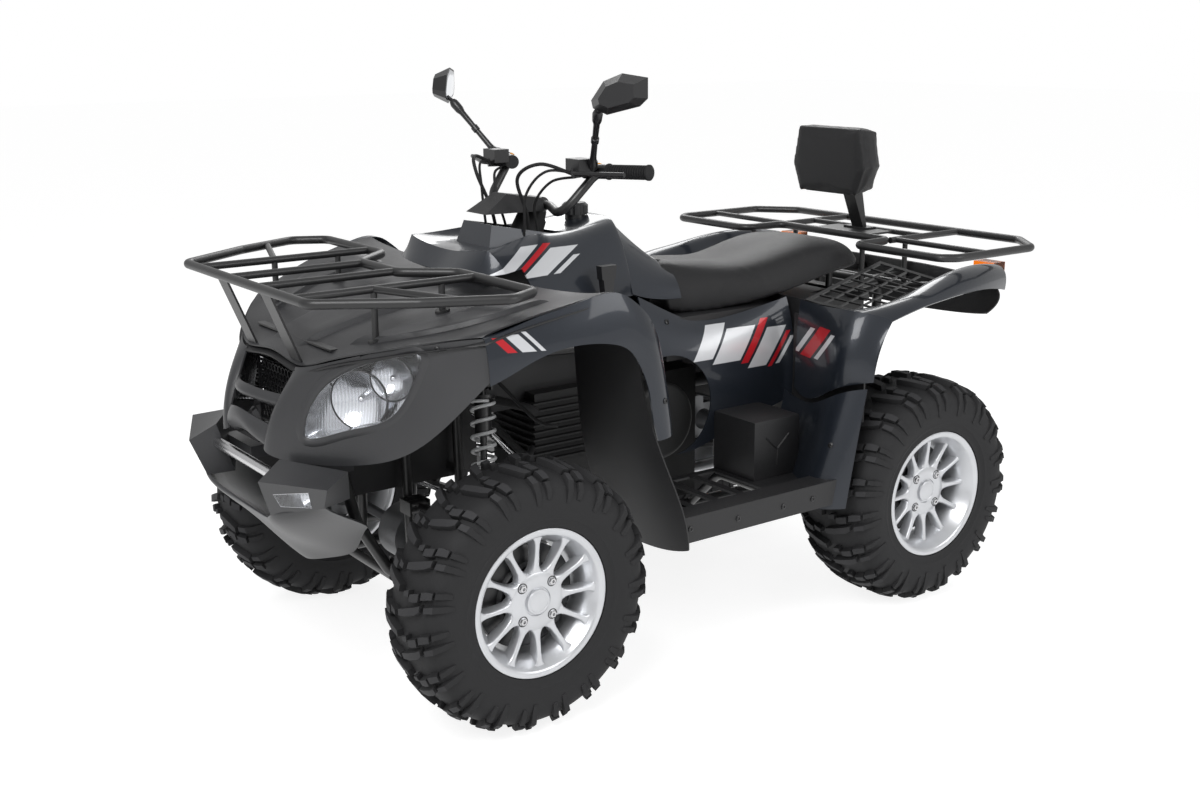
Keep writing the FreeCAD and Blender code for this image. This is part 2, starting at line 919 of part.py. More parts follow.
def suspension_arm(arm):
    """Two tubes from the frame pivots to the ball joint, with a bush on each pivot."""
    end, _, _, side = ARMS[arm]
    ball = axle_point(end, s.kingpin_x, s.tyre_radius + side * s.kingpin_half_height)
    tip = ball - Vector(0, 0, s.arm_drop) if side < 0 else ball
    bushes = [along_y(pivot, s.bush_radius, s.bush_length) for pivot in pivots(arm)]
    tubes = [rod(pivot, tip, s.arm_tube_radius) for pivot in pivots(arm)]
    housing = Part.makeCylinder(s.ball_radius, s.ball_height, ball - Vector(0, 0, s.ball_height / 2))
    solids = bushes + tubes + [housing]
    if side > 0:
        _, eye = shock_eyes(end)
        share = (eye.x - s.arm_pivot_x) / (ball.x - s.arm_pivot_x)
        solids += shock_ears(end, s.arm_high_z + (ball.z - s.arm_high_z) * share)
    bores = [along_y(pivot, s.bush_pin_radius + s.gap, s.bush_length + s.overrun) for pivot in pivots(arm)]
    return joined(solids).cut(loose(bores))


def suspension_arms(end):
    made = [suspension_arm(arm) for arm in ARMS if ARMS[arm][0] == end]
    shaped(f"{end}_arms", loose(both_sides(made)))


def shock_line(end):
    """Upper eye, upper spring seat, lower spring seat and lower eye."""
    top, low = shock_eyes(end)
    axis = (low - top).normalize()
    return top, top + axis * s.spring_seat_offset, low - axis * s.spring_seat_offset, low


def shock(end):
    """Damper body, rod, spring seats and an eye at each end."""
    top, seat_top, seat_low, low = shock_line(end)
    axis = (low - top).normalize()
    neck = top + axis * (low - top).Length * s.shock_body_share
    body = joined(
        [
            along_y(top, s.shock_eye_radius, s.eye_length),
            along_y(low, s.shock_eye_radius, s.eye_length),
            rod(top, low, s.shock_rod_radius),
            rod(seat_top, neck, s.shock_body_radius),
            rod(seat_top, seat_top + axis * s.spring_seat_height, s.coil_radius),
            rod(seat_low - axis * s.spring_seat_height, seat_low, s.coil_radius),
        ]
    )
    bores = [along_y(eye, s.bush_pin_radius + s.gap, s.eye_length + s.overrun) for eye in (top, low)]
    return body.cut(loose(bores))


def spring(end):
    """The coil as a sleeve of its own outer size."""
    _, seat_top, seat_low, _ = shock_line(end)
    axis = (seat_low - seat_top).normalize()
    start = seat_top + axis * (s.spring_seat_height + s.gap)
    stop = seat_low - axis * (s.spring_seat_height + s.gap)
    return rod(start, stop, s.coil_radius).cut(rod(start, stop, s.coil_radius - s.coil_wire))


def drive(end):
    """Differential with its lugs and propeller shaft, and a half shaft with two boots each side."""
    centre = axle_point(end, 0, s.tyre_radius)
    half = s.differential_width / 2
    across = Vector(1, 0, 0)
    towards = Vector(0, 1 if end == "front" else -1, 0)
    engine_y = front(s.engine_front) if end == "front" else rear(-s.engine_rear)
    neck_end = centre + towards * (s.differential_radius + s.differential_neck_length)
    shaft_end = Vector(0, engine_y, centre.z) - towards * s.gap
    body = [
        Part.makeCylinder(s.differential_radius, s.differential_width, centre - across * half, across),
        rod(centre, neck_end, s.differential_neck_radius),
        rod(neck_end, shaft_end, s.shaft_radius),
    ]
    rail = spot("frame", FRAME_SIDE_SHARES[0])
    lug = s.differential_lug
    low = Vector(0, centre.y - lug, rail.z - lug / 2)
    high = Vector(rail.x - s.frame_tube_radius - s.gap, centre.y + lug, rail.z + lug / 2)
    reach = s.kingpin_x - s.joint_room
    neck, boot = s.boot_neck_radius, s.boot_radius
    side = [
        brick(low, high),
        rod(centre, centre + across * reach, s.shaft_radius),
        Part.makeCone(boot, neck, s.boot_length, centre + across * half, across),
        Part.makeCone(neck, boot, s.boot_length, centre + across * (reach - s.boot_length), across),
    ]
    shaped(f"{end}_drive", joined(body + both_sides(side)))


def hub_carrier(end):
    """The upright between both ball joints, with the spindle that the wheel turns on."""
    centre = axle_point(end, s.kingpin_x, s.tyre_radius)
    half_height = s.kingpin_half_height - s.ball_height / 2 - s.gap
    half = Vector(s.knuckle_half_width, s.knuckle_half_depth, half_height)
    dish = s.rear_dish if end == "rear" else 0
    face = s.half_width - s.rim_edge_inset - s.rim_face_depth - dish
    spindle_end = face - s.disc_inset - s.gap
    caliper_low = centre + Vector(0, s.spindle_radius / 2, -s.caliper_length / 2)
    caliper_high = centre + Vector(0, s.disc_radius, s.caliper_length / 2)
    caliper_low.x = s.caliper_inner_x
    caliper_high.x = spindle_end
    return [
        brick(centre - half, centre + half),
        rod(centre, Vector(spindle_end, centre.y, centre.z), s.spindle_radius),
        brick(caliper_low, caliper_high),
    ]


def tie_rod_ball():
    """Centre of the tie rod's outer eye."""
    eye = axle_point("front", s.kingpin_x, s.tyre_radius + s.steer_arm_lift)
    return eye + Vector(0, s.steer_arm_length, 2 * s.steer_arm_half + s.gap)


def knuckle():
    """Front hub carrier with its steering arm."""
    centre = axle_point("front", s.kingpin_x, s.tyre_radius + s.steer_arm_lift)
    half = s.steer_arm_half
    low = centre - Vector(half, 0, half)
    high = centre + Vector(half, s.steer_arm_length, half)
    foot = centre + Vector(0, s.steer_arm_length, -half)
    eye = Part.makeCylinder(s.tie_rod_eye, 2 * half, foot)
    return joined(hub_carrier("front") + [brick(low, high), eye])


def steer_ends():
    low = Vector(0, front(s.steer_axis_low_y), s.steer_axis_low_z)
    return low, Vector(0, front(s.steer_axis_top_y), s.steer_axis_top_z)


def steer_axis():
    low, top = steer_ends()
    return (top - low).normalize()


def steer_point(share):
    low, top = steer_ends()
    return low + (top - low) * share


def steer_level(x, reach, lift=0):
    """A point in the plane of the drop arm: x across, reach behind the axis, lift along it."""
    axis = steer_axis()
    back = Vector(1, 0, 0).cross(axis) * -1
    return steer_point(0) + Vector(x, 0, 0) + back * reach + axis * lift


def tie_rod():
    """Rod with an eye on the knuckle and a ball under the drop arm."""
    outer = tie_rod_ball()
    drop = s.pitman_wall / 2 + s.tie_rod_eye + s.gap
    inner = steer_level(s.pitman_half_width, s.pitman_length, -drop)
    base = outer - Vector(0, 0, s.steer_arm_half)
    eye = Part.makeCylinder(s.tie_rod_eye, 2 * s.steer_arm_half, base)
    ball = Part.makeSphere(s.tie_rod_eye, inner, steer_axis())
    return joined([eye, ball, rod(outer, inner, s.tie_rod_radius)])


def pair_of(label, made):
    shaped(f"{label}_left", made)
    shaped(f"{label}_right", mirrored(made))


def running_gear():
    for end in ("front", "rear"):
        suspension_arms(end)
        drive(end)
    dampers = [shock(end) for end in ("front", "rear")]
    springs = [spring(end) for end in ("front", "rear")]
    shaped("shocks", loose(both_sides(dampers)))
    shaped("springs", loose(both_sides(springs)))
    shaped("rear_hubs", loose(both_sides([joined(hub_carrier("rear"))])))
    pair_of("knuckle", knuckle())
    pair_of("tie_rod", tie_rod())


# Engine and exhaust.


def engine():
    """The engine as one plain block, with the round belt cover on its left."""
    body = new_body("engine")
    block = new_sketch(body, "YZ_Plane", "engine_side")
    low_y = "-sizes.wheelbase / 2 + sizes.engine_front"
    high_y = "sizes.wheelbase / 2 - sizes.engine_rear"
    depth = "(sizes.frame_z_high - sizes.frame_z_low)"
    low_z = f"sizes.frame_z_low + sizes.frame_low_share * {depth} + sizes.frame_tube_radius + sizes.gap"
    outline(
        block,
        [
            (low_y, low_z),
            (high_y, low_z),
            (high_y, "sizes.engine_high_z"),
            (low_y, "sizes.engine_high_z"),
        ],
    )
    padded(body, block, "engine_block", "2 * sizes.engine_half_width", middle=True)
    cover = new_sketch(body, "YZ_Plane", "belt_cover_side", "sizes.engine_half_width")
    ring(cover, "sizes.belt_cover_radius", "sizes.belt_cover_y", "sizes.belt_cover_z")
    padded(body, cover, "belt_cover", "sizes.belt_cover_depth")
    doc.recompute()
    tip = body.Tip
    outer = worth("engine_half_width + belt_cover_depth")
    edges = [
        f"Edge{i}"
        for i, edge in enumerate(tip.Shape.Edges, start=1)
        if abs(edge.BoundBox.XMin - outer) < s.gap and abs(edge.BoundBox.XMax - outer) < s.gap
    ]
    fillet = body.newObject("PartDesign::Fillet", "belt_cover_round")
    fillet.Base = (tip, edges)
    fillet.setExpression("Radius", "sizes.belt_cover_fillet")
    body.Tip = fillet


def exhaust():
    """Pipe from the engine's rear face, muffler above the rear axle and a short tail pipe."""
    start = Vector(s.muffler_x, rear(s.muffler_front), s.muffler_z)
    stop = Vector(s.muffler_x, rear(s.muffler_rear), s.muffler_z)
    port = Vector(s.muffler_x, rear(-s.engine_rear) + s.gap, s.muffler_z - s.muffler_radius)
    knee = Vector(s.muffler_x, (port.y + start.y) / 2, port.z)
    elbow = Vector(s.muffler_x, start.y - s.pipe_bend, start.z)
    pipe = tube([port, knee, elbow, start], s.pipe_radius, s.pipe_bend)
    tail = rod(stop, stop + Vector(0, s.tail_pipe_length, 0), s.tail_pipe_radius)
    shaped("exhaust", joined([pipe, rod(start, stop, s.muffler_radius), tail]))


# Body panels. Each grid lists rows of points across a panel, as shares of the panel's box.

SEAT_TOP_SHARES = (
    (
        (0, 0.112, 0.773),
        (0.2, 0.076, 0.809),
        (0.38, 0.051, 0.773),
        (0.512, 0.051, 0.545),
        (0.56, 0.063, 0.25),
    ),
    (
        (0, 0.171, 0.736),
        (0.24, 0.159, 0.75),
        (0.472, 0.146, 0.659),
        (0.6, 0.146, 0.409),
        (0.608, 0.152, 0.164),
    ),
    (
        (0, 0.28, 0.7),
        (0.28, 0.278, 0.709),
        (0.54, 0.274, 0.614),
        (0.672, 0.274, 0.386),
        (0.672, 0.274, 0.164),
    ),
    (
        (0, 0.424, 0.673),
        (0.32, 0.424, 0.682),
        (0.6, 0.424, 0.6),
        (0.736, 0.424, 0.386),
        (0.728, 0.424, 0.209),
    ),
    (
        (0, 0.585, 0.782),
        (0.34, 0.585, 0.791),
        (0.64, 0.585, 0.705),
        (0.792, 0.585, 0.491),
        (0.776, 0.585, 0.327),
    ),
    (
        (0, 0.732, 0.845),
        (0.36, 0.732, 0.845),
        (0.672, 0.732, 0.782),
        (0.832, 0.738, 0.6),
        (0.816, 0.738, 0.464),
    ),
    (
        (0, 0.866, 0.791),
        (0.34, 0.863, 0.791),
        (0.62, 0.856, 0.736),
        (0.784, 0.848, 0.614),
        (0.768, 0.844, 0.509),
    ),
    (
        (0, 0.946, 0.545),
        (0.28, 0.941, 0.564),
        (0.48, 0.924, 0.573),
        (0.6, 0.912, 0.545),
        (0.584, 0.907, 0.491),
    ),
)
SIDE_PANEL_SHARES = (
    (
        (0.712, 0.038, 0.843),
        (0.72, 0.264, 0.736),
        (0.744, 0.443, 0.689),
        (0.776, 0.698, 0.707),
        (0.832, 0.962, 0.754),
    ),
    (
        (0.888, 0.038, 0.607),
        (0.904, 0.264, 0.562),
        (0.92, 0.453, 0.546),
        (0.936, 0.717, 0.55),
        (0.96, 0.962, 0.564),
    ),
    (
        (0.952, 0.038, 0.375),
        (0.96, 0.264, 0.357),
        (0.964, 0.453, 0.357),
        (0.968, 0.717, 0.366),
        (0.976, 0.962, 0.393),
    ),
    (
        (0.98, 0.038, 0.125),
        (0.984, 0.277, 0.1),
        (0.976, 0.491, 0.154),
        (0.968, 0.736, 0.214),
        (0.96, 0.962, 0.264),
    ),
)
REAR_FENDER_SHARES = (
    (
        (0.114, 0.079, 0.086),
        (0.429, 0.026, 0.071),
        (0.686, 0.007, 0.2),
        (0.843, 0.046, 0.257),
        (0.92, 0.083, 0.271),
    ),
    (
        (0.114, 0.086, 0.514),
        (0.429, 0.046, 0.5),
        (0.714, 0.014, 0.5),
        (0.857, 0.064, 0.514),
        (0.937, 0.103, 0.509),
    ),
    (
        (0.114, 0.097, 0.76),
        (0.429, 0.079, 0.754),
        (0.686, 0.071, 0.766),
        (0.843, 0.121, 0.743),
        (0.929, 0.164, 0.703),
    ),
    (
        (0.577, 0.257, 0.686),
        (0.643, 0.26, 0.72),
        (0.729, 0.264, 0.794),
        (0.843, 0.293, 0.817),
        (0.929, 0.314, 0.766),
    ),
    (
        (0.577, 0.429, 0.771),
        (0.634, 0.429, 0.806),
        (0.714, 0.429, 0.863),
        (0.829, 0.443, 0.863),
        (0.891, 0.457, 0.789),
    ),
    (
        (0.543, 0.657, 0.863),
        (0.594, 0.657, 0.891),
        (0.657, 0.657, 0.943),
        (0.757, 0.671, 0.929),
        (0.814, 0.686, 0.8),
    ),
    (
        (0.443, 0.943, 0.88),
        (0.5, 0.95, 0.9),
        (0.557, 0.957, 0.914),
        (0.629, 0.964, 0.88),
        (0.657, 0.957, 0.729),
    ),
)
REAR_GUARD_SHARES = (
    ((0, 0.91, 0.729), (0.429, 0.675, 0.729), (0.714, 0.54, 0.843), (0.957, 0.76, 0.929)),
    ((0, 0.8, 0.457), (0.429, 0.55, 0.457), (0.729, 0.34, 0.486), (0.957, 0.6, 0.486)),
    ((0, 0.55, 0.057), (0.429, 0.26, 0.071), (0.714, 0.075, 0.057), (0.957, 0.45, 0.051)),
)
BUMPER_CHIN_SHARES = (
    (
        (0, 0.262, 0.473),
        (0.25, 0.223, 0.503),
        (0.463, 0.135, 0.606),
        (0.675, 0.231, 0.682),
        (0.863, 0.338, 0.752),
    ),
    (
        (0, 0.331, 0.382),
        (0.237, 0.323, 0.394),
        (0.45, 0.3, 0.455),
        (0.65, 0.423, 0.545),
        (0.825, 0.519, 0.652),
    ),
    (
        (0, 0.519, 0.197),
        (0.2, 0.577, 0.212),
        (0.375, 0.692, 0.258),
        (0.55, 0.731, 0.394),
        (0.725, 0.731, 0.545),
    ),
    (
        (0, 0.723, 0.03),
        (0.188, 0.827, 0.076),
        (0.35, 0.942, 0.152),
        (0.5, 0.923, 0.303),
        (0.65, 0.885, 0.455),
    ),
)
BUMPER_HORN_FRONT_SHARES = (
    (0.512, 0, 0.873),
    (0.963, 0.3, 0.909),
    (0.875, 0.327, 0.752),
    (0.463, 0.123, 0.606),
)
BUMPER_HORN_BACK_SHARES = (
    (0.46, 0.238, 0.979),
    (0.838, 0.585, 0.955),
    (0.795, 0.608, 0.742),
    (0.45, 0.385, 0.606),
)
MESH_PANEL_SHARES = (
    (0.111, 0.013, 0.338),
    (0.944, 0.273, 0.115),
    (0.944, 0.961, 0.554),
    (0.111, 0.766, 0.938),
)
COWL_LIP_SHARES = (
    ((0, 0.02, 0.353), (0.093, 0.04, 0.327), (0.187, 0.085, 0.28)),
    ((0, 0.005, 0.253), (0.093, 0.015, 0.213), (0.18, 0.06, 0.147)),
    ((0, 0.05, 0.167), (0.093, 0.075, 0.133), (0.177, 0.115, 0.073)),
)
COWL_BLADE_SHARES = (
    ((0, 0.075, 0.533), (0.1, 0.1, 0.52), (0.203, 0.17, 0.5)),
    ((0, 0.04, 0.473), (0.1, 0.07, 0.46), (0.2, 0.135, 0.44)),
    ((0, 0.09, 0.42), (0.1, 0.115, 0.407), (0.193, 0.17, 0.387)),
)
TANK_SHARES = (
    ((0, -0.04, 0.492), (0.38, -0.045, 0.508), (0.7, -0.024, 0.519), (0.9, 0, 0.469), (1.04, 0.032, 0.26)),
    ((0, 0.013, 0.662), (0.38, 0.008, 0.685), (0.728, 0.021, 0.727), (0.888, 0.048, 0.558), (1.06, 0.065, 0.26)),
    ((0, 0.145, 0.685), (0.336, 0.145, 0.685), (0.6, 0.145, 0.754), (0.82, 0.153, 0.577), (1.05, 0.161, 0.25)),
    ((0, 0.29, 0.692), (0.3, 0.29, 0.7), (0.472, 0.29, 0.792), (0.74, 0.298, 0.596), (1, 0.306, 0.23)),
    ((0, 0.435, 0.746), (0.28, 0.435, 0.754), (0.432, 0.435, 0.777), (0.68, 0.435, 0.627), (0.92, 0.435, 0.2)),
    ((0, 0.635, 0.85), (0.24, 0.635, 0.85), (0.392, 0.635, 0.831), (0.6, 0.635, 0.635), (0.76, 0.635, 0.15)),
    ((0, 0.702, 0.862), (0.22, 0.702, 0.858), (0.368, 0.698, 0.835), (0.56, 0.698, 0.577), (0.712, 0.71, 0.154)),
    ((0, 0.855, 0.558), (0.22, 0.852, 0.554), (0.4, 0.845, 0.531), (0.592, 0.839, 0.308), (0.688, 0.839, 0.069)),
    ((0, 1, 0.377), (0.24, 0.997, 0.365), (0.44, 0.984, 0.308), (0.6, 0.981, 0.192), (0.672, 0.981, 0.038)),
)
TANK_CREASE_ROWS = (1, 6)
TANK_CREASE_COLUMNS = (2, 6)
TOWER_LOW_SHARES = ((0.336, 0.118, 0.6), (0.472, 0.427, 0.6))
TOWER_HIGH_SHARES = ((0.264, 0.156, 0.9), (0.416, 0.416, 0.782))
TAIL_PANEL_SHARES = (
    ((0, 0.889, 0.938), (0.319, 0.889, 0.938), (0.638, 0.883, 0.912), (0.862, 0.867, 0.875)),
    ((0, 0.972, 0.562), (0.319, 0.972, 0.562), (0.66, 0.958, 0.562), (0.957, 0.917, 0.594)),
    ((0, 0.931, 0.094), (0.319, 0.928, 0.094), (0.66, 0.889, 0.156), (0.936, 0.806, 0.281)),
)
FRONT_RACK_LOOP_SHARES = (
    (0.616, 0, 1),
    (0.851, 0.426, 1),
    (1, 0.812, 1),
    (0.915, 1, 1),
    (0.344, 1, 1),
    (0.172, 0.757, 1),
)
REAR_RACK_LOOP_SHARES = (
    (0.402, 0.33, 1),
    (0.402, 0, 1),
    (0.947, 0, 1),
    (1, 0.085, 1),
    (1, 0.783, 1),
    (0.796, 1, 1),
)
BAR_SHARES = (
    (0.176, 0.296, 0.111),
    (0.497, 0, 0),
    (0.588, 0.634, 0.963),
    (1, 1, 1),
)
FRAME_SIDE_SHARES = (
    (1, 0.88, 0.02),
    (1, 0.07, 0.02),
    (1, 0.02, 0.27),
    (0.8, 0, 0.588),
    (0.8, 0.02, 0.934),
    (0.8, 0.22, 0.963),
    (0.8, 0.29, 0.813),
    (0.8, 0.46, 0.785),
    (0.92, 0.56, 0.804),
    (0.96, 0.985, 0.906),
)
FRAME_RAIL_START = 4
FRAME_TAIL_SHARES = ((1, 0.86, 0.02), (1, 0.955, 0.03), (0.96, 0.985, 0.9))
FRAME_HITCH_SHARES = (1, 0.94, 0.028)
FRAME_CROSS_SHARES = (
    (0.8, 0.02, 0.934),
    (1, 0.07, 0.02),
    (1, 0.5, 0.02),
    FRAME_HITCH_SHARES,
    (0.92, 0.56, 0.804),
    (0.96, 0.97, 0.902),
)
HOOD_SHARES = (
    ((0, 0.03, 0.14), (0.23, 0.03, 0.08), (0.385, 0.08, 0.19), (0.54, 0.175, 0.32), (0.685, 0.285, 0.43), (0.83, 0.47, 0.515)),
    ((0, 0.25, 0.34), (0.24, 0.25, 0.36), (0.4, 0.28, 0.39), (0.56, 0.35, 0.44), (0.71, 0.43, 0.51), (0.865, 0.57, 0.64)),
    ((0, 0.53, 0.53), (0.24, 0.535, 0.56), (0.42, 0.55, 0.59), (0.58, 0.58, 0.6), (0.74, 0.64, 0.66), (0.905, 0.73, 0.76)),
    ((0, 0.95, 0.7), (0.24, 0.95, 0.73), (0.43, 0.955, 0.73), (0.61, 0.96, 0.75), (0.78, 0.95, 0.8), (0.925, 0.94, 0.88)),
)
FRONT_FENDER_SHARES = (
    ((0.495, 0.056, 0.753), (0.535, 0.056, 0.756), (0.58, 0.06, 0.665), (0.605, 0.064, 0.508)),
    ((0.58, 0.176, 0.795), (0.62, 0.176, 0.805), (0.675, 0.178, 0.7), (0.69, 0.18, 0.578)),
    ((0.65, 0.3, 0.842), (0.7, 0.3, 0.857), (0.76, 0.296, 0.755), (0.775, 0.288, 0.645)),
    ((0.7, 0.43, 0.88), (0.78, 0.444, 0.9), (0.84, 0.44, 0.795), (0.865, 0.436, 0.688)),
    ((0.76, 0.63, 0.935), (0.84, 0.63, 0.945), (0.905, 0.62, 0.815), (0.93, 0.606, 0.675)),
    ((0.78, 0.75, 0.875), (0.85, 0.765, 0.868), (0.93, 0.745, 0.745), (0.94, 0.724, 0.595)),
    ((0.76, 0.865, 0.7), (0.85, 0.875, 0.685), (0.94, 0.84, 0.57), (0.94, 0.8, 0.413)),
    ((0.74, 0.93, 0.35), (0.85, 0.94, 0.325), (0.94, 0.9, 0.3), (0.94, 0.825, 0.265)),
    ((0.74, 0.955, 0.1), (0.85, 0.965, 0.09), (0.93, 0.93, 0.08), (0.92, 0.87, 0.07)),
)
FRONT_MUDGUARD_SHARES = (
    ((0.1, 0.3, 0.94), (0.43, 0.26, 0.95), (0.68, 0.275, 0.945), (0.83, 0.3, 0.93)),
    ((0.1, 0.39, 0.565), (0.43, 0.41, 0.565), (0.68, 0.46, 0.565), (0.83, 0.53, 0.56)),
    ((0.1, 0.54, 0.3), (0.43, 0.6, 0.3), (0.7, 0.67, 0.3), (0.92, 0.76, 0.3)),
    ((0.1, 0.86, 0.03), (0.43, 0.87, 0.02), (0.71, 0.89, 0.03), (0.93, 0.93, 0.06)),
)
COWL_SHARES = (
    ((0.173, 0.05, 0.11), (0.187, 0.09, 0.3), (0.203, 0.155, 0.5), (0.227, 0.235, 0.71)),
    ((0.275, 0.095, 0.047), (0.283, 0.115, 0.3), (0.303, 0.175, 0.53), (0.342, 0.28, 0.755)),
    ((0.418, 0.275, 0.027), (0.437, 0.31, 0.3), (0.45, 0.36, 0.57), (0.483, 0.405, 0.843)),
    ((0.57, 0.46, 0.073), (0.587, 0.5, 0.33), (0.6, 0.545, 0.63), (0.62, 0.55, 0.923)),
    ((0.675, 0.595, 0.183), (0.687, 0.62, 0.43), (0.7, 0.655, 0.7), (0.708, 0.655, 0.96)),
    ((0.767, 0.725, 0.383), (0.775, 0.73, 0.567), (0.78, 0.75, 0.783), (0.78, 0.763, 0.993)),
    ((0.867, 0.92, 0.717), (0.863, 0.915, 0.817), (0.857, 0.91, 0.917), (0.842, 0.905, 1.01)),
)
# The grille's bars, counted from below, that carry a clip to the lip and one to the blade.
GRILLE_CLIP_ROWS = (1, 3)
HEADLIGHT_SHARES = (
    (0.01, 0.02),
    (0.05, 0.28),
    (0.165, 0.54),
    (0.355, 0.74),
    (0.565, 0.87),
    (0.79, 0.96),
    (0.99, 0.99),
    (0.965, 0.82),
    (0.88, 0.55),
    (0.75, 0.28),
    (0.54, 0.13),
    (0.29, 0.035),
)
FOG_LAMP_CORNER_SHARES = (0.535, 0.205, 0.695)
FOG_LAMP_SHARES = ((0, 0.58), (1, 1), (0.92, 0.24), (0.07, 0))
MIRROR_SHARES = ((0, 0.35), (0.22, 0.81), (0.55, 1), (1, 0.9), (1, 0.4), (0.86, 0.21), (0.28, 0), (0.03, 0.16))



def grid(piece, shares):
    return spots(piece, shares)


def front_body():
    """Hood, fenders, nose and lamps. Gives back what other pieces are fitted to."""
    hood_rows = whole_width(grid("hood", HOOD_SHARES))
    hood = skin(hood_rows, s.skin)
    hood_room = room_for(hood_rows, s.trim_depth)
    fender_rows = grid("front_fender", FRONT_FENDER_SHARES)
    fender = largest(skin(fender_rows, s.skin, (), (1,)).cut(hood_room))
    fender_room = room_for(fender_rows, s.lip_trim_depth, (), (1,))
    guard = skin(grid("front_mudguard", FRONT_MUDGUARD_SHARES), s.skin)
    guard = largest(guard.cut(fender_room))

    cowl_rows = grid("cowl", COWL_SHARES)
    mask = skin(cowl_rows, s.skin)
    mask = mask.cut(headlight_window(0)).cut(hood_room).cut(fender_room)
    lip = skin(whole_width(grid("cowl", COWL_LIP_SHARES)), s.skin)
    blade = skin(whole_width(grid("cowl", COWL_BLADE_SHARES)), s.skin)
    mask = largest(mask)
    cowl = joined([mask, mirrored(mask), lip, blade])
    behind = solid_between(shifted(cowl_rows, -s.lamp_recess), shifted(cowl_rows, -s.lamp_recess - s.lamp_depth))
    lamp = largest(behind.common(headlight_window(-s.gap)))

    shaped("hood", hood)
    pair_of("front_fender", fender)
    shaped("front_mudguards", loose(both_sides([guard])))
    shaped("cowl", cowl)
    shaped("headlights", loose(both_sides([lamp])))
    return hood, hood_room, guard, cowl


def headlight_window(grow):
    corner = Vector(s.lamp_x, front(s.lamp_y), s.lamp_z)
    depth = s.lamp_height
    return window(corner, s.lamp_heading_deg, s.lamp_length, depth, HEADLIGHT_SHARES, depth, grow, curved=True)


def grille(cowl):
    """A flat mesh behind the nose: a frame with crossed bars, and clips that reach the cowl."""
    y = front(-s.grille_back)
    low = Vector(-s.grille_half_width, y, s.grille_low_z)
    high = Vector(s.grille_half_width, y + s.grille_wall, s.grille_high_z)
    mesh = lattice(low, high, s.grille_columns_count, s.grille_rows_count, s.grille_bar)
    step_x = (high.x - low.x - s.grille_bar) / s.grille_columns_count
    step_z = (high.z - low.z - s.grille_bar) / s.grille_rows_count
    clips = []
    for bar in GRILLE_CLIP_ROWS:
        start = Vector(step_x, low.y, low.z + s.grille_bar / 2 + bar * step_z)
        clip = rod(start, start - Vector(0, s.grille_clip_length, 0), s.grille_clip_radius)
        clips.append(stopped(clip, cowl, Vector(0, s.gap, 0), start))
    shaped("grille", joined([mesh, *both_sides(clips)]))


def lattice(low, high, columns, rows, bar):
    """An upright plate with a grid of windows."""
    columns, rows = int(columns), int(rows)
    plate = brick(low, high)
    step_x = (high.x - low.x - bar) / columns
    step_z = (high.z - low.z - bar) / rows
    holes = []
    for i in range(columns):
        for j in range(rows):
            corner = Vector(low.x + bar + i * step_x, low.y - s.overrun, low.z + bar + j * step_z)
            far = Vector(corner.x + step_x - bar, high.y + s.overrun, corner.z + step_z - bar)
            holes.append(brick(corner, far))
    return plate.cut(loose(holes))


def front_bumper():
    """Chin skin with a horn each side, arms back to the frame and pockets for the fog lamps."""
    chin = skin(whole_width(grid("front_bumper", BUMPER_CHIN_SHARES)), s.skin)
    faces = []
    for shares in (BUMPER_HORN_FRONT_SHARES, BUMPER_HORN_BACK_SHARES):
        points = flattened([spot("front_bumper", row) for row in shares])
        faces.append(Part.makePolygon([*points, points[0]]))
    horn = Part.makeLoft(faces, True, True)
    tube_x = spot("frame", FRAME_SIDE_SHARES[3]).x
    back = horn.BoundBox.YMax - s.overrun
    loop_low, loop_high = (spot("frame", row) for row in FRAME_SIDE_SHARES[2:4])
    loop = rod(loop_low, loop_high, s.frame_tube_radius + s.gap)
    stop = loop_low.y
    half = s.bumper_arm_height / 2
    low = Vector(tube_x, back - s.bumper_arm_reach, s.bumper_arm_z - half)
    high = Vector(tube_x + s.bumper_arm_width, stop, s.bumper_arm_z + half)
    link_high = Vector(horn.BoundBox.XMin + s.bumper_arm_grip, back, high.z)
    arm = [brick(low, high), brick(Vector(low.x, low.y, low.z), link_high)]
    side = joined([horn, *arm]).cut(fog_lamp_window(0, s.fog_lamp_depth))
    side = largest(side.cut(loop))
    bumper = joined([chin, side, mirrored(side)])
    shaped("front_bumper", bumper)
    lamp = fog_lamp_window(-s.gap, s.fog_lamp_depth - s.gap)
    shaped("fog_lamps", loose(both_sides([lamp.common(horn)])))
    reach = s.bumper_bar_half
    left = Vector(reach, front(s.bumper_bar_y), s.bumper_bar_z)
    right = Vector(-reach, left.y, left.z)
    bar = rod(right, left, s.bumper_bar_radius)
    shaped("bumper_bar", largest(bar.cut(bumper)))


def flattened(points):
    """The points moved onto the plane of the first, second and last."""
    a, b, d = points[0], points[1], points[-1]
    normal = (b - a).cross(d - a).normalize()
    return [point - normal * (point - a).dot(normal) for point in points]


def fog_lamp_window(grow, depth):
    corner = spot("front_bumper", FOG_LAMP_CORNER_SHARES)
    return window(corner, s.fog_lamp_heading_deg, s.fog_lamp_length, s.fog_lamp_height, FOG_LAMP_SHARES, depth, grow)


def seat():
    """A closed cushion: the top grid over a flat floor."""
    top = grid("seat", SEAT_TOP_SHARES)
    floor = []
    for row in top:
        edge = row[-1]
        step = edge.x * s.seat_floor_share / (len(row) - 1)
        floor.append([Vector(i * step, place.y, edge.z) for i, place in enumerate(row)])
    return solid_between(whole_width(top), whole_width(floor))


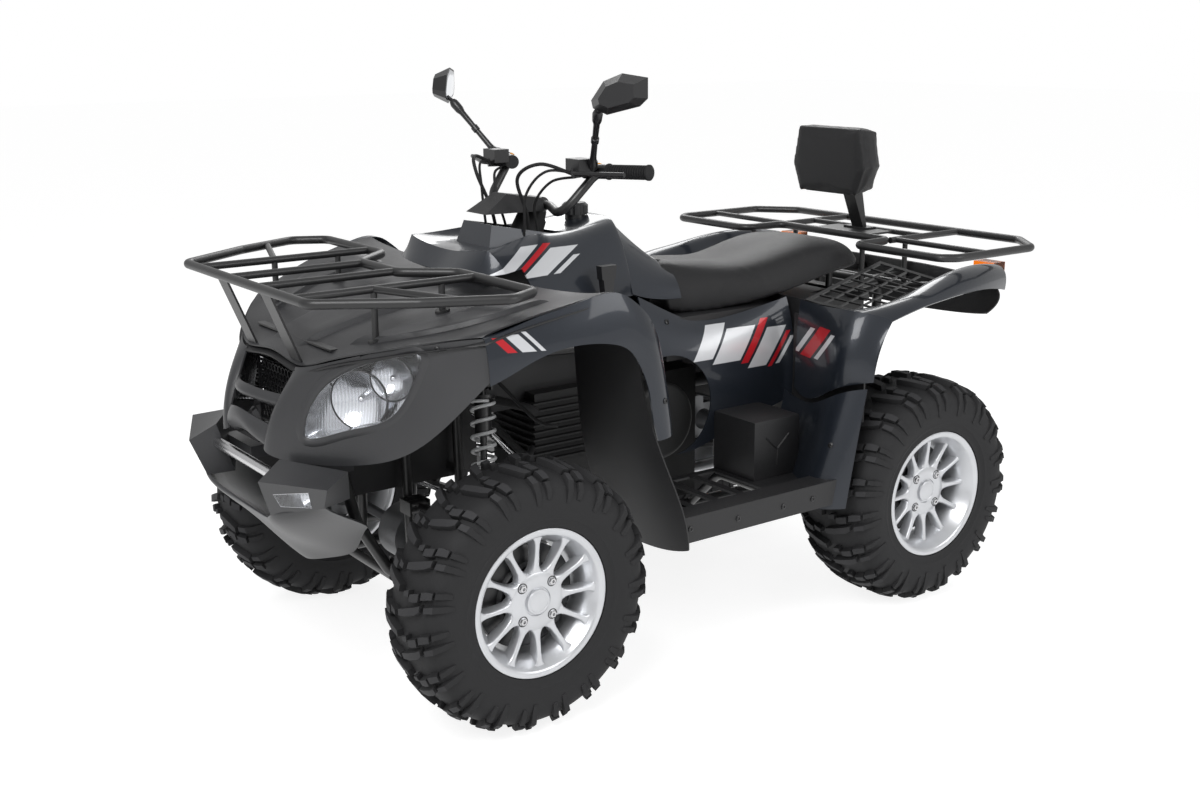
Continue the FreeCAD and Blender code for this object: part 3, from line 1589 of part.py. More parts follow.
def middle_body(hood_room, cushion):
    """Tank cover with its filler cap, and the side panels below it."""
    rows = whole_width(grid("tank", TANK_SHARES))
    cover = skin(rows, s.skin, TANK_CREASE_ROWS, TANK_CREASE_COLUMNS).cut(hood_room)
    for lift in (-s.seam, s.seam, s.trim_depth):
        cover = cover.cut(cushion.translated(Vector(0, -s.seam, lift)))
    wall, well = tower()
    cover = largest(joined([largest(cover.cut(well)), wall]))
    cover = largest(cover.cut(rod(steer_point(0), steer_point(1), s.stem_room)))
    shaped("tank_cover", cover)

    top = Vector(0, s.fuel_cap_y, s.fuel_cap_z)
    neck = rod(top, top - Vector(0, 0, s.fuel_neck_drop), s.fuel_neck_radius)
    shaped("fuel_cap", joined([fuel_cap(top), stopped(neck, cover, Vector(0, 0, s.gap), top)]))

    panel = skin(grid("side_panel", SIDE_PANEL_SHARES), s.skin)
    centre = Vector(0, s.opening_y, s.opening_z)
    across = Vector(corners("side_panel")[1].x + s.overrun, 0, 0)
    hole = rod(centre, centre + across, s.opening_radius)
    reach = corners("side_panel")[0].y - s.overrun
    low = Vector(0, reach, centre.z - s.opening_radius)
    slot = brick(low, Vector(across.x, centre.y, centre.z + s.opening_radius))
    panel = largest(panel.cut(hole).cut(slot))
    shaped("side_panels", loose(both_sides([panel])))

    return cover, panel


def fuel_cap(foot):
    """A round cap with finger notches and a bevelled top."""
    bevel = s.fuel_cap_bevel
    body = Part.makeCylinder(s.fuel_cap_radius, s.fuel_cap_height - bevel, foot)
    top = foot + Vector(0, 0, s.fuel_cap_height - bevel)
    body = body.fuse(Part.makeCone(s.fuel_cap_radius, s.fuel_cap_radius - bevel, bevel, top))
    count = int(s.fuel_cap_notch_count)
    notches = []
    for i in range(count):
        angle = 2 * math.pi * i / count
        out = Vector(math.cos(angle), math.sin(angle), 0) * (s.fuel_cap_radius + s.fuel_cap_notch_share * bevel)
        notches.append(Part.makeCylinder(bevel, s.fuel_cap_height, foot + out))
    return body.cut(loose(notches)).removeSplitter()


def gear_lever():
    """A bent rod from the rail, with a tapered sleeve and a flat handle."""
    rail = rail_point(s.lever_y)
    foot = rail + Vector(s.frame_tube_radius + s.gap, 0, 0)
    knee = Vector(s.lever_x, s.lever_y, rail.z)
    head = Vector(s.lever_x, s.lever_y, s.lever_high_z)
    lever = tube([foot, knee, head], s.lever_radius, s.lever_bend)
    made = [lever]
    waist = head - Vector(0, 0, s.handle_height)
    root = waist - Vector(0, 0, s.sleeve_height)
    made.append(tapered(root, s.sleeve_width, waist, s.handle_width - s.lever_radius))
    made.append(tapered(waist, s.handle_width, head, s.handle_width + s.lever_radius))
    shaped("gear_lever", joined(made))


def tapered(low, low_width, high, high_width):
    """A flat block that widens along Y from one level to the next."""
    loops = []
    for centre, width in ((low, low_width), (high, high_width)):
        half = Vector(s.handle_wall / 2, width / 2, 0)
        across = Vector(half.x, -half.y, 0)
        points = [centre - half, centre + across, centre + half, centre - across]
        loops.append(Part.makePolygon([*points, points[0]]))
    return Part.makeLoft(loops, True, True)


def tower():
    """The open wedge ahead of the steering stem, and the well inside it."""
    low = [spot("tank", row) for row in TOWER_LOW_SHARES]
    high = [spot("tank", row) for row in TOWER_HIGH_SHARES]
    outer = wedge(low, high)
    inset = Vector(s.skin, -s.skin, 0)
    ends = []
    for nose, tail in (low, high):
        ends.append([nose - inset, tail - Vector(s.skin, -s.stem_room, 0)])
    below = [a - (b - a) for a, b in zip(*ends)]
    above = [b + (b - a) for a, b in zip(*ends)]
    well = wedge(below, above)
    return outer.cut(well), well


def wedge(low, high):
    """A solid between two level outlines, each given by its nose and tail corner on the left."""
    loops = []
    for nose, tail in (low, high):
        points = [nose, tail, Vector(-tail.x, tail.y, tail.z), Vector(-nose.x, nose.y, nose.z)]
        loops.append(Part.makePolygon([*points, points[0]]))
    return Part.makeLoft(loops, True, True)


def rear_body(cushion):
    """Rear fenders, guards, mesh panels and the panel across the tail."""
    rows = grid("rear_fender", REAR_FENDER_SHARES)
    fender = skin(rows, s.skin, (2,))
    space = room_for(rows, s.lip_trim_depth, (2,))
    pair_of("rear_fender", fender)
    guard = largest(skin(grid("rear_guard", REAR_GUARD_SHARES), s.skin).cut(space))
    shaped("rear_guards", loose(both_sides([guard])))
    corner_points = [spot("mesh_panel", row) for row in MESH_PANEL_SHARES]
    mesh = largest(mesh_panel(flattened(corner_points)).cut(space).cut(cushion))
    shaped("mesh_panels", loose(both_sides([mesh])))
    tail = skin(whole_width(grid("tail_panel", TAIL_PANEL_SHARES)), s.skin)
    tail = largest(tail.cut(space).cut(mirrored(space)))
    shaped("tail_panel", tail)
    low = Vector(s.tail_lamp_x - s.tail_lamp_width / 2, rear(s.tail_lamp_y), s.tail_lamp_z)
    size = Vector(s.tail_lamp_width, s.tail_lamp_depth, s.tail_lamp_height)
    lamp = brick(low, low + size)
    for lift in (0, s.gap):
        lamp = lamp.cut(tail.translated(Vector(0, 0, lift)))
    shaped("tail_lamps", loose(both_sides([largest(lamp)])))
    return fender, guard, tail


def mesh_panel(points):
    """A sloping frame between four corners, crossed by thin bars."""
    a, b, c, d = points
    normal = (b - a).cross(d - a).normalize()
    thick = normal * s.mesh_wall

    def slab(corners_of):
        return Part.Face(Part.makePolygon([*corners_of, corners_of[0]])).extrude(thick)

    def at(u, v):
        return (a * (1 - u) + b * u) * (1 - v) + (d * (1 - u) + c * u) * v

    width = (b - a).Length
    length = (d - a).Length
    outer = slab([at(0, 0), at(1, 0), at(1, 1), at(0, 1)])
    columns, rows = int(s.mesh_columns_count), int(s.mesh_rows_count)
    u_frame, v_frame = s.mesh_frame / width, s.mesh_frame / length
    u_bar, v_bar = s.mesh_bar / width, s.mesh_bar / length
    u_step = (1 - 2 * u_frame + u_bar) / columns
    v_step = (1 - 2 * v_frame + v_bar) / rows
    holes = []
    for i in range(columns):
        for j in range(rows):
            u, v = u_frame + i * u_step, v_frame + j * v_step
            far_u, far_v = u + u_step - u_bar, v + v_step - v_bar
            holes.append(slab([at(u, v), at(far_u, v), at(far_u, far_v), at(u, far_v)]))
    return outer.cut(loose(holes))


def footboards(mudguard, guard):
    """Floor with slots, outer rail, inner wall and the step block behind."""
    inner, outer, rail = s.board_inner_x, s.board_outer_x, s.board_rail_x
    start, stop = s.board_front_y, s.board_rear_y
    floor_z = s.board_top_z - s.board_wall
    floor = brick(Vector(inner, start, floor_z), Vector(rail, stop, s.board_top_z))
    holes = []
    count = int(s.board_slots_count)
    bar = s.board_slot_bar
    step = (s.step_low_y - s.board_slot_front_y - bar) / count
    for i in range(count):
        y = s.board_slot_front_y + bar + i * step
        holes.append(brick(Vector(inner + bar, y, floor_z - s.overrun), Vector(rail - bar, y + step - bar, s.board_top_z + s.overrun)))
    floor = floor.cut(loose(holes))
    edge = brick(Vector(rail, start, s.board_rail_low_z), Vector(outer, stop, s.board_rail_high_z))
    wall = s.board_rail_wall
    hollow = brick(
        Vector(rail + wall, start - s.overrun, s.board_rail_low_z - wall),
        Vector(outer - wall, stop + s.overrun, s.board_rail_high_z - wall),
    )
    edge = edge.cut(hollow)
    block = brick(Vector(inner, s.step_low_y, s.board_top_z - wall), Vector(s.step_outer_x, s.step_high_y, s.step_high_z))
    core = brick(
        Vector(inner - wall, s.step_low_y + wall, floor_z - wall),
        Vector(s.step_outer_x - wall, s.step_high_y - wall, s.step_high_z - wall),
    )
    floor_core = brick(Vector(inner + wall, s.step_low_y + wall, floor_z - wall), Vector(s.step_outer_x - wall, s.step_high_y - wall, s.board_top_z))
    board = joined([floor.cut(floor_core), edge, block.cut(core)])
    for panel in (mudguard, guard):
        for shift in (-s.seam, s.seam):
            board = board.cut(panel.translated(Vector(0, shift, 0)))
    board = largest(board)
    shaped("footboards", loose(both_sides([board])))


# Racks and backrest.


def rack_loop(piece, shares):
    """A closed loop of tube, drawn on the left and completed on the right."""
    left = [spot(piece, row) for row in shares]
    right = [Vector(-p.x, p.y, p.z) for p in reversed(left)]
    return tube(left + right, s.rack_tube_radius, s.rack_bend, closed=True)


def post_on(top, panel):
    """A post from a rack down to a panel, with a wider foot."""
    drop = Vector(0, 0, s.post_drop)
    post = stopped(rod(top, top - drop, s.rack_post_radius), panel, Vector(0, 0, s.gap), top)
    wide = rod(top, top - drop, s.post_foot_radius)
    above = stopped(wide, panel, Vector(0, 0, s.post_foot_height), top)
    foot = stopped(wide, panel, Vector(0, 0, s.gap), top).cut(above)
    return joined([post, foot])


def front_rack(hood):
    z = corners("front_rack")[1].z
    radius = s.rack_bar_radius
    nose = spot("front_rack", FRONT_RACK_LOOP_SHARES[0]).y
    back = spot("front_rack", FRONT_RACK_LOOP_SHARES[4]).y
    inner_back = spot("front_rack", FRONT_RACK_LOOP_SHARES[5]).y
    cross, cross_end = front(s.rack_cross_y), front(s.rack_cross_back_y)
    side = [
        rod(Vector(s.rack_inner_rail_x, nose, z), Vector(s.rack_inner_rail_x, inner_back, z), radius),
        rod(Vector(s.rack_rail_x, nose, z), Vector(s.rack_rail_x, back, z), radius),
        rod(Vector(s.rack_rail_x, cross, z), Vector(s.rack_cross_end_x, cross_end, z), s.rack_cross_radius),
        post_on(Vector(s.rack_rail_x, cross, z), hood),
        post_on(Vector(s.rack_rail_x, front(s.rack_post_y), z), hood),
    ]
    half = s.rack_clamp_width / 2
    top = Vector(s.rack_clamp_x, nose, z)
    clamp = brick(top - Vector(half, s.rack_clamp_wall / 2, s.post_drop), top + Vector(half, s.rack_clamp_wall / 2, 0))
    clamp.rotate(top, Vector(1, 0, 0), s.rack_clamp_tilt_deg)
    side.append(stopped(clamp, hood, Vector(0, 0, s.gap), top))
    shaped("front_rack", welded(rack_loop("front_rack", FRONT_RACK_LOOP_SHARES), both_sides(side)))


def rear_rack():
    z = corners("rear_rack")[1].z
    radius = s.rack_bar_radius
    mouth = spot("rear_rack", REAR_RACK_LOOP_SHARES[0]).y
    tail = spot("rear_rack", REAR_RACK_LOOP_SHARES[5]).y
    outer = spot("rear_rack", REAR_RACK_LOOP_SHARES[4]).x
    rail = s.rear_rail_x
    cross, far_cross = rear(s.rear_cross_y), rear(s.rear_cross_back_y)
    side = [
        rod(Vector(rail, mouth, z), Vector(rail, tail, z), radius),
        rod(Vector(rail, cross, z), Vector(outer, cross, z), s.rack_cross_radius),
    ]
    for y in (rear(s.tail_bar_front_y), rear(s.tail_bar_rear_y)):
        low = Vector(rail, y, rail_point(y).z + s.brace_radius + s.gap)
        side.append(rod(low, Vector(rail, y, z), s.rack_post_radius))
    half, wall = s.rear_plate_half, s.rear_plate_wall
    plate = brick(Vector(-half, mouth, z - wall / 2), Vector(half, far_cross, z + wall / 2))
    across = [plate, rod(Vector(-rail, far_cross, z), Vector(rail, far_cross, z), s.rack_cross_radius)]
    shaped("rear_rack", welded(rack_loop("rear_rack", REAR_RACK_LOOP_SHARES), across, both_sides(side)))


def backrest():
    """A faceted pad on a flat post that stands on the rear rack."""
    low, high = corners("backrest")
    width, depth, height = high.x, high.y - low.y, high.z - low.z
    cut = s.pad_chamfer
    face = [
        Vector(-width + cut, low.y, low.z),
        Vector(width - cut, low.y, low.z),
        Vector(width, low.y, low.z + height * s.pad_waist_share),
        Vector(width - cut * s.pad_top_share, low.y, high.z),
        Vector(-width + cut * s.pad_top_share, low.y, high.z),
        Vector(-width, low.y, low.z + height * s.pad_waist_share),
    ]
    middle = Vector(0, low.y + depth, low.z + height / 2)
    back = [middle + (point - middle) * s.pad_back_share for point in face]
    back = [Vector(point.x, high.y, point.z) for point in back]
    loops = [Part.makePolygon([*ring_points, ring_points[0]]) for ring_points in (face, back)]
    pad = Part.makeLoft(loops, True, True)
    shaped("backrest_pad", pad)
    half = s.post_width / 2
    foot = Vector(-half, rear(s.post_foot_y), corners("rear_rack")[1].z + s.rear_plate_wall / 2 + s.gap)
    top_y = high.y + s.gap
    profile = [
        foot,
        Vector(-half, foot.y + s.post_wall, foot.z),
        Vector(-half, top_y + s.post_wall, low.z + height / 2),
        Vector(-half, top_y, low.z + height / 2),
        Vector(-half, top_y, low.z),
    ]
    post = Part.Face(Part.makePolygon([*profile, profile[0]])).extrude(Vector(s.post_width, 0, 0))
    base = brick(
        Vector(-s.post_width, foot.y - s.post_wall, foot.z),
        Vector(s.post_width, foot.y + 2 * s.post_wall, foot.z + s.rear_plate_wall),
    )
    shaped("backrest_post", joined([post, base]))


# Steering.


def bar_points():
    left = [spot("bar", row) for row in BAR_SHARES]
    right = [Vector(-p.x, p.y, p.z) for p in reversed(left)]
    return right + left


def handlebar():
    """Stem, drop arm, clamp and the bent bar, which turn as one."""
    low, top = steer_ends()
    wall = s.pitman_wall
    stem = rod(low, top, s.stem_radius)
    half, reach, pad = s.pitman_half_width, s.pitman_length, s.tie_rod_eye
    outline_points = [
        steer_level(-s.stem_radius - pad, -s.stem_radius, -wall / 2),
        steer_level(s.stem_radius + pad, -s.stem_radius, -wall / 2),
        steer_level(half + pad, reach, -wall / 2),
        steer_level(half, reach + pad, -wall / 2),
        steer_level(-half, reach + pad, -wall / 2),
        steer_level(-half - pad, reach, -wall / 2),
    ]
    arm = Part.Face(Part.makePolygon([*outline_points, outline_points[0]])).extrude(steer_axis() * wall)
    points = bar_points()
    inner = points[len(points) // 2]
    bar = tube(points, s.bar_radius, s.bar_bend)
    reach = s.clamp_length / 2
    clamp = rod(Vector(-reach, inner.y, inner.z), Vector(reach, inner.y, inner.z), s.clamp_radius)
    shaped("handlebar", joined([stem, arm, clamp, bar]))


def bar_end():
    """End of the left bar and the direction it points in."""
    points = bar_points()
    end = points[-1]
    return end, (end - points[-2]).normalize()


def controls():
    """Grips, perches, switches, levers and the fluid reservoirs."""
    end, along = bar_end()
    ahead = Vector(along.y, -along.x, 0).normalize()
    root = end - along * s.grip_length
    sleeve = rod(root, end + along * s.grip_cap, s.grip_radius)
    grip = sleeve.cut(rod(root - along, end + along * s.gap, s.bar_radius + s.gap))
    shaped("grips", loose(both_sides([grip])))
    perch_end = root - along * s.gap
    perch_start = perch_end - along * (s.perch_length + s.switch_length)
    switch_end = perch_start + along * s.perch_length
    bore = tube(bar_points(), s.bar_radius + s.gap, s.bar_bend)
    centre = (perch_start + switch_end) / 2
    knee = centre + ahead * s.lever_reach
    lever = tube(
        [centre + ahead * s.perch_radius, knee, knee + along * s.lever_span],
        s.lever_blade_radius,
        s.lever_blade_radius * 3,
    )
    size = Vector(s.reservoir_width, s.reservoir_depth, s.reservoir_height)
    corner = centre + ahead * (s.perch_radius + s.reservoir_depth / 2) - size / 2
    corner.z = centre.z
    tank = brick(corner, corner + size)
    arm = rod(centre, centre + ahead * (s.perch_radius + s.reservoir_depth), s.lever_blade_radius * 2)
    perch = rod(perch_start, switch_end, s.perch_radius)
    switch = rod(switch_end, perch_end, s.perch_radius)
    side = joined([perch, switch, arm, tank, lever]).cut(bore)
    shaped("bar_controls", loose(both_sides([side])))
    return side


def mirrors(perch):
    """Faceted shell on a bent stem that stands on the lever's perch."""
    low, high = corners("mirror")
    along = Vector(high.x - low.x, high.y - low.y, 0)
    up = Vector(0, 0, high.z - low.z)
    out = Vector(along.y, -along.x, 0).normalize()
    rim = [low + along * a + up * b for a, b in MIRROR_SHARES]
    middle = low + (along + up) * s.mirror_middle_share
    back = [middle + (point - middle) * s.mirror_back_share + out * s.mirror_depth for point in rim]
    head = Part.makeLoft([Part.makePolygon([*loop, loop[0]]) for loop in (rim, back)], True, True)
    joint = middle + out * s.mirror_depth / 2 - up * s.mirror_drop_share
    foot = spot("mirror_stem", (0, 0, 0))
    knee = spot("mirror_stem", (1, 1, 1))
    stem = tube([foot, knee, joint], s.mirror_stem_radius, s.mirror_stem_bend)
    for lift in (0, s.gap):
        stem = stem.cut(perch.translated(Vector(0, 0, lift)))
    shaped("mirrors", loose(both_sides([joined([head, largest(stem)])])))


def instrument_pod():
    """Hooded housing ahead of the bar clamp."""
    low, high = corners("pod")
    clamp = bar_points()[len(bar_points()) // 2]
    back_y = clamp.y - s.clamp_radius - s.gap
    base = [
        Vector(high.x * s.pod_nose_share, low.y, low.z),
        Vector(high.x, back_y, low.z),
    ]
    top = [
        Vector(high.x * s.pod_brow_share, low.y + (back_y - low.y) * s.pod_brow_share, high.z),
        Vector(high.x * s.pod_top_share, back_y, high.z - s.pod_fall),
    ]
    loops = []
    for pair in (base, top):
        ring_points = [pair[0], pair[1], Vector(-pair[1].x, pair[1].y, pair[1].z), Vector(-pair[0].x, pair[0].y, pair[0].z)]
        loops.append(Part.makePolygon([*ring_points, ring_points[0]]))
    housing = Part.makeLoft(loops, True, True)
    shaped("instrument_pod", housing.cut(rod(steer_point(0), steer_point(1), s.stem_radius + s.gap)))


def tow_hitch():
    """A flat tongue behind the rear cross tube, with an upright hole."""
    last = spot("frame", FRAME_HITCH_SHARES)
    start = last.y + s.brace_radius + s.gap
    half, wall = s.hitch_width / 2, s.hitch_wall / 2
    tongue = brick(Vector(-half, start, last.z - wall), Vector(half, start + s.hitch_reach, last.z + wall))
    hole = Vector(0, start + s.hitch_reach - half, last.z - wall - s.overrun)
    tongue = tongue.cut(Part.makeCylinder(s.hitch_hole_radius, s.hitch_wall + 2 * s.overrun, hole))
    shaped("tow_hitch", tongue)


def rail_point(y):
    """Centre of the left top rail at a place along it."""
    line = [spot("frame", row) for row in FRAME_SIDE_SHARES[FRAME_RAIL_START:]]
    for a, b in zip(line, line[1:]):
        if a.y <= y <= b.y:
            return a + (b - a) * ((y - a.y) / (b.y - a.y))
    raise ValueError(f"no rail at {y}")


def frame_tubes():
    """Both side loops, the uprights beside each axle and the bars that carry the footboards."""
    radius, bend = s.frame_tube_radius, s.frame_bend
    _, high = corners("frame")
    rail = spot("frame", FRAME_SIDE_SHARES[0])
    runs = (FRAME_SIDE_SHARES, FRAME_TAIL_SHARES)
    made = [tube([spot("frame", row) for row in rows], radius, bend) for rows in runs]
    for end in ("front", "rear"):
        for direction in (-1, 1):
            y = AXLE_Y[end] + direction * s.arm_high_spread
            made.append(rod(Vector(high.x, y, rail.z), rail_point(y), s.brace_radius))
    top, _ = shock_eyes("rear")
    head = rail_point(top.y)
    made.append(rod(Vector(head.x, top.y, top.z), head, s.brace_radius))
    step_z = s.board_top_z - s.board_wall - s.gap - s.brace_radius
    for y in (s.step_bar_front_y, s.step_bar_rear_y):
        line = [Vector(high.x, y, rail.z), Vector(s.step_bar_x, y, step_z), Vector(s.step_bar_end_x, y, step_z)]
        made.append(tube(line, s.brace_radius, bend))
    return made


def arm_brackets():
    """Ears and pins for the bushes of the suspension arms."""
    made = []
    rail = spot("frame", FRAME_SIDE_SHARES[0])
    half = s.bush_length / 2 + s.gap + s.strap_wall
    for arm, (_, _, _, side) in ARMS.items():
        for pivot in pivots(arm):
            low_z = rail.z if side < 0 else pivot.z - s.bush_radius
            high_z = pivot.z + s.bush_radius
            made += ears(pivot, s.bush_length / 2, rail.x, pivot.x + s.bush_radius, low_z, high_z)
            made.append(along_y(pivot, s.bush_pin_radius, 2 * half))
            if side > 0:
                low = Vector(rail.x, pivot.y - half, low_z)
                made.append(brick(low, Vector(rail.x + s.strap_wall, pivot.y + half, high_z)))
    return made


def shock_brackets():
    """Ears, pin and back plate for the upper eye of each shock absorber."""
    made = []
    for end in ("front", "rear"):
        top, _ = shock_eyes(end)
        inner, eye = top.x - s.eye_reach, s.shock_eye_radius
        half = s.eye_length / 2 + s.gap + s.strap_wall
        made += ears(top, s.eye_length / 2, inner, top.x + eye, top.z - eye, top.z + eye)
        low = Vector(inner, top.y - half, top.z - eye)
        made.append(brick(low, Vector(inner + s.strap_wall, top.y + half, top.z + eye)))
        made.append(along_y(top, s.bush_pin_radius, 2 * half))
    return made


def frame_cross_tubes():
    """The tubes that run from side to side."""
    ends = [spot("frame", row) for row in FRAME_CROSS_SHARES]
    for end in ("front", "rear"):
        top, _ = shock_eyes(end)
        ends.append(Vector(top.x - s.eye_reach + s.strap_wall / 2, top.y, top.z))
    for y in (rear(s.tail_bar_front_y), rear(s.tail_bar_rear_y)):
        ends.append(Vector(s.tail_bar_half, y, rail_point(y).z))
    return [cross_tube(end, s.brace_radius) for end in ends]


def steering_bearings():
    """Two sleeves for the steering stem, each on a cross tube."""
    bore = rod(steer_point(0), steer_point(1), s.stem_radius + s.bearing_play)
    made = []
    for share in (s.low_bearing_share, s.high_bearing_share):
        centre = steer_point(share)
        half = steer_axis() * s.bearing_length / 2
        sleeve = rod(centre - half, centre + half, s.bearing_radius)
        bar = cross_tube(Vector(s.bearing_tube_half, centre.y, centre.z), s.brace_radius)
        made.append(sleeve.fuse(bar).cut(bore))
    return made


def frame(hood, cushion, side_panel, fender, tail):
    """Tube frame with its brackets, steering bearings and the tabs that carry the body."""
    tabs = hood_tabs(hood) + seat_tabs(cushion) + panel_tabs(side_panel) + fender_tabs(fender)
    tabs += tail_tabs(tail)
    first, *others = steering_bearings() + frame_cross_tubes()
    groups = [both_sides(group) for group in (frame_tubes(), arm_brackets(), shock_brackets(), tabs)]
    shaped("frame", welded(first, others, *groups))


def cross_tube(end, radius):
    return rod(Vector(-end.x, end.y, end.z), end, radius)


def hood_tabs(hood):
    """Uprights from the front cross tubes to the underside of the hood."""
    tabs = []
    for row in (FRAME_CROSS_SHARES[0], FRAME_SIDE_SHARES[5]):
        foot = spot("frame", row)
        start = Vector(foot.x, foot.y, foot.z)
        bar = rod(start, start + Vector(0, 0, s.post_drop), s.post_radius)
        tabs.append(stopped(bar, hood, Vector(0, 0, -s.gap), start))
    return tabs


def seat_tabs(cushion):
    """Pads from the top rails to the seat's floor."""
    tabs = []
    for share in (s.seat_tab_front_share, s.seat_tab_rear_share):
        low, high = corners("seat")
        y = low.y + (high.y - low.y) * share
        start = rail_point(y)
        bar = rod(start, start + Vector(0, 0, s.post_drop), s.post_radius)
        tabs.append(stopped(bar, cushion, Vector(0, 0, -s.gap), start))
    return tabs


def panel_tabs(panel):
    """Stubs from the rails out to the side panels."""
    tabs = []
    for y in (s.panel_tab_front_y, s.panel_tab_rear_y):
        start = rail_point(y)
        bar = rod(start, Vector(s.panel_tab_reach, start.y, start.z), s.post_radius)
        tabs.append(stopped(bar, panel, Vector(-s.gap, 0, 0), start))
    return tabs


def fender_tabs(fender):
    """Arms from the rear shock bridge out to the rear fenders."""
    y = rear(s.tail_bar_rear_y)
    start = Vector(s.tail_bar_half, y, rail_point(y).z)
    bar = rod(start, Vector(corners("rear_fender")[1].x, y, s.fender_tab_z), s.post_radius)
    return [stopped(bar, fender, Vector(-s.gap, 0, 0), start)]


def tail_tabs(tail):
    """Arms from the last cross tube back to the panel across the tail."""
    bridge = spot("frame", FRAME_CROSS_SHARES[-1])
    start = Vector(s.tail_tab_x, bridge.y, bridge.z)
    bar = rod(start, start + Vector(0, s.post_drop, 0), s.post_radius)
    return [stopped(bar, tail, Vector(0, -s.gap, 0), start)]


for wheel in WHEELS:
    tyre(wheel)
    rim(wheel)

running_gear()
engine()
exhaust()
hood, hood_room, mudguard, cowl = front_body()
grille(cowl)
front_bumper()
cushion = seat()
shaped("seat", cushion)
tank_cover, side_panel = middle_body(hood_room, cushion)
gear_lever()
rear_fender, rear_guard, tail = rear_body(cushion)
footboards(mudguard, rear_guard)
frame(hood, cushion, side_panel, rear_fender, tail)
front_rack(hood)
rear_rack()
backrest()
tow_hitch()
handlebar()
mirrors(controls())
instrument_pod()


def finish():
    """Recomputes, checks every object and writes one file for each piece."""
    doc.recompute()
    for item in doc.Objects:
        bad = [state for state in item.State if state in ("Invalid", "Error")]
        if bad:
            raise RuntimeError(f"{item.Label} is {bad}")
    total = 0
    for piece in pieces:
        shape = piece.Shape
        if shape.isNull() or not shape.isValid():
            raise RuntimeError(f"{piece.Label} has no valid shape")
        if not shape.Solids:
            raise RuntimeError(f"{piece.Label} has no solid")
        shape.exportStep(os.path.join("parts", f"{piece.Label}.step"))
        total += sum(solid.Volume for solid in shape.Solids)
        box = shape.BoundBox
        print(
            f"{piece.Label:22s} solids {len(shape.Solids)} "
            f"x {box.XMin:.0f}..{box.XMax:.0f} y {box.YMin:.0f}..{box.YMax:.0f} "
            f"z {box.ZMin:.0f}..{box.ZMax:.0f}"
        )
    print(f"{len(pieces)} pieces")


finish()
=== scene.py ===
"""The looks of a utility quad bike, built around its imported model."""

import math

import bmesh
import bpy
from mathutils import Matrix, Vector


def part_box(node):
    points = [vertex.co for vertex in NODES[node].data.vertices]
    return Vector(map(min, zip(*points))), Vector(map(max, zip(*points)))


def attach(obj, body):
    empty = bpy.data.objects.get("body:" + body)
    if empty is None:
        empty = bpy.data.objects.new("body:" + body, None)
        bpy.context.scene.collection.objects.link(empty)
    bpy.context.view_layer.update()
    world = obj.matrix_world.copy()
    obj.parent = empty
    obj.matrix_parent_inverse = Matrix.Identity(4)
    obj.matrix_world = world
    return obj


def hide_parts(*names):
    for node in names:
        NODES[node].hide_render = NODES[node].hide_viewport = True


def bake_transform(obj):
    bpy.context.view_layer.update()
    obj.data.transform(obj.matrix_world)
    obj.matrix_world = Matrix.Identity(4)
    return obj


bl_info = {
    "name": "Utility quad bike",
    "version": (1, 0, 0),
    "blender": (4, 5, 0),
    "location": "View3D > Sidebar > Quad bike",
    "description": "Tyres, lamps, seat, bar fittings and finishes of a utility quad bike",
    "category": "Object",
}

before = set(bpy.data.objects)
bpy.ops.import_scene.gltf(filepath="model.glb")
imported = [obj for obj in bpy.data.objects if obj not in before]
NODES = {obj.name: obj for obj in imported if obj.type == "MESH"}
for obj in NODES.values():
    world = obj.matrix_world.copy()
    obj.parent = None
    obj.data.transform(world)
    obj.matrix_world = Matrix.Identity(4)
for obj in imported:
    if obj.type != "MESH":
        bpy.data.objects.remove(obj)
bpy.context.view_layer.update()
ENDS = ("front", "rear")
SIDES = {"left": 1, "right": -1}
FULL_TURN = 2 * math.pi

# The sizes and colours that a user would change.


def length(name, description, default):
    return bpy.props.FloatProperty(
        name=name, description=description, default=default, min=0, unit="LENGTH", precision=4
    )


def count(name, description, default):
    return bpy.props.IntProperty(name=name, description=description, default=default, min=1)


def share(name, description, default):
    return bpy.props.FloatProperty(
        name=name, description=description, default=default, min=0, max=1, subtype="FACTOR"
    )


def colour(name, description, default):
    return bpy.props.FloatVectorProperty(
        name=name, description=description, default=default, size=3, min=0, max=1, subtype="COLOR"
    )


class QuadTyreSizes(bpy.types.PropertyGroup):
    pitches: count("Tread pitches", "How often the tread pattern repeats round the tyre", 19)
    lug_height: length("Lug height", "Height of the lugs at the middle of the tread", 0.0165)
    lug_root: length("Lug root", "How deep a lug is rooted in the carcass", 0.003)
    lug_taper: share("Lug taper", "Width of a lug's top over its foot", 0.8)
    ring_height: length("Ring height", "Height of the rings on the sidewall", 0.0012)
    steps: count("Steps", "Steps round the carcass", 120)


class QuadWheelSizes(bpy.types.PropertyGroup):
    nut_radius: length("Nut radius", "Radius of a wheel nut over its corners", 0.0085)
    nut_height: length("Nut height", "How far a wheel nut stands out of its hole", 0.007)
    nut_pitch: length("Nut pitch", "Radius of the circle of wheel nuts", 0.055)
    nut_count: count("Nuts", "Wheel nuts on each wheel", 4)
    spoke_count: count("Spokes", "Spokes of each wheel", 12)
    steps: count("Steps", "Steps round a rim", 96)
    cap_radius: length("Cap radius", "Radius of the hub cap", 0.0295)
    drum_radius: length("Drum radius", "Radius of the brake housing behind the spokes", 0.122)


class QuadSpringSizes(bpy.types.PropertyGroup):
    wire: length("Wire", "Thickness of the coil's wire", 0.0088)
    radius: length("Coil radius", "Outer radius of the coil", 0.031)
    turns: count("Turns", "Turns of each coil", 8)


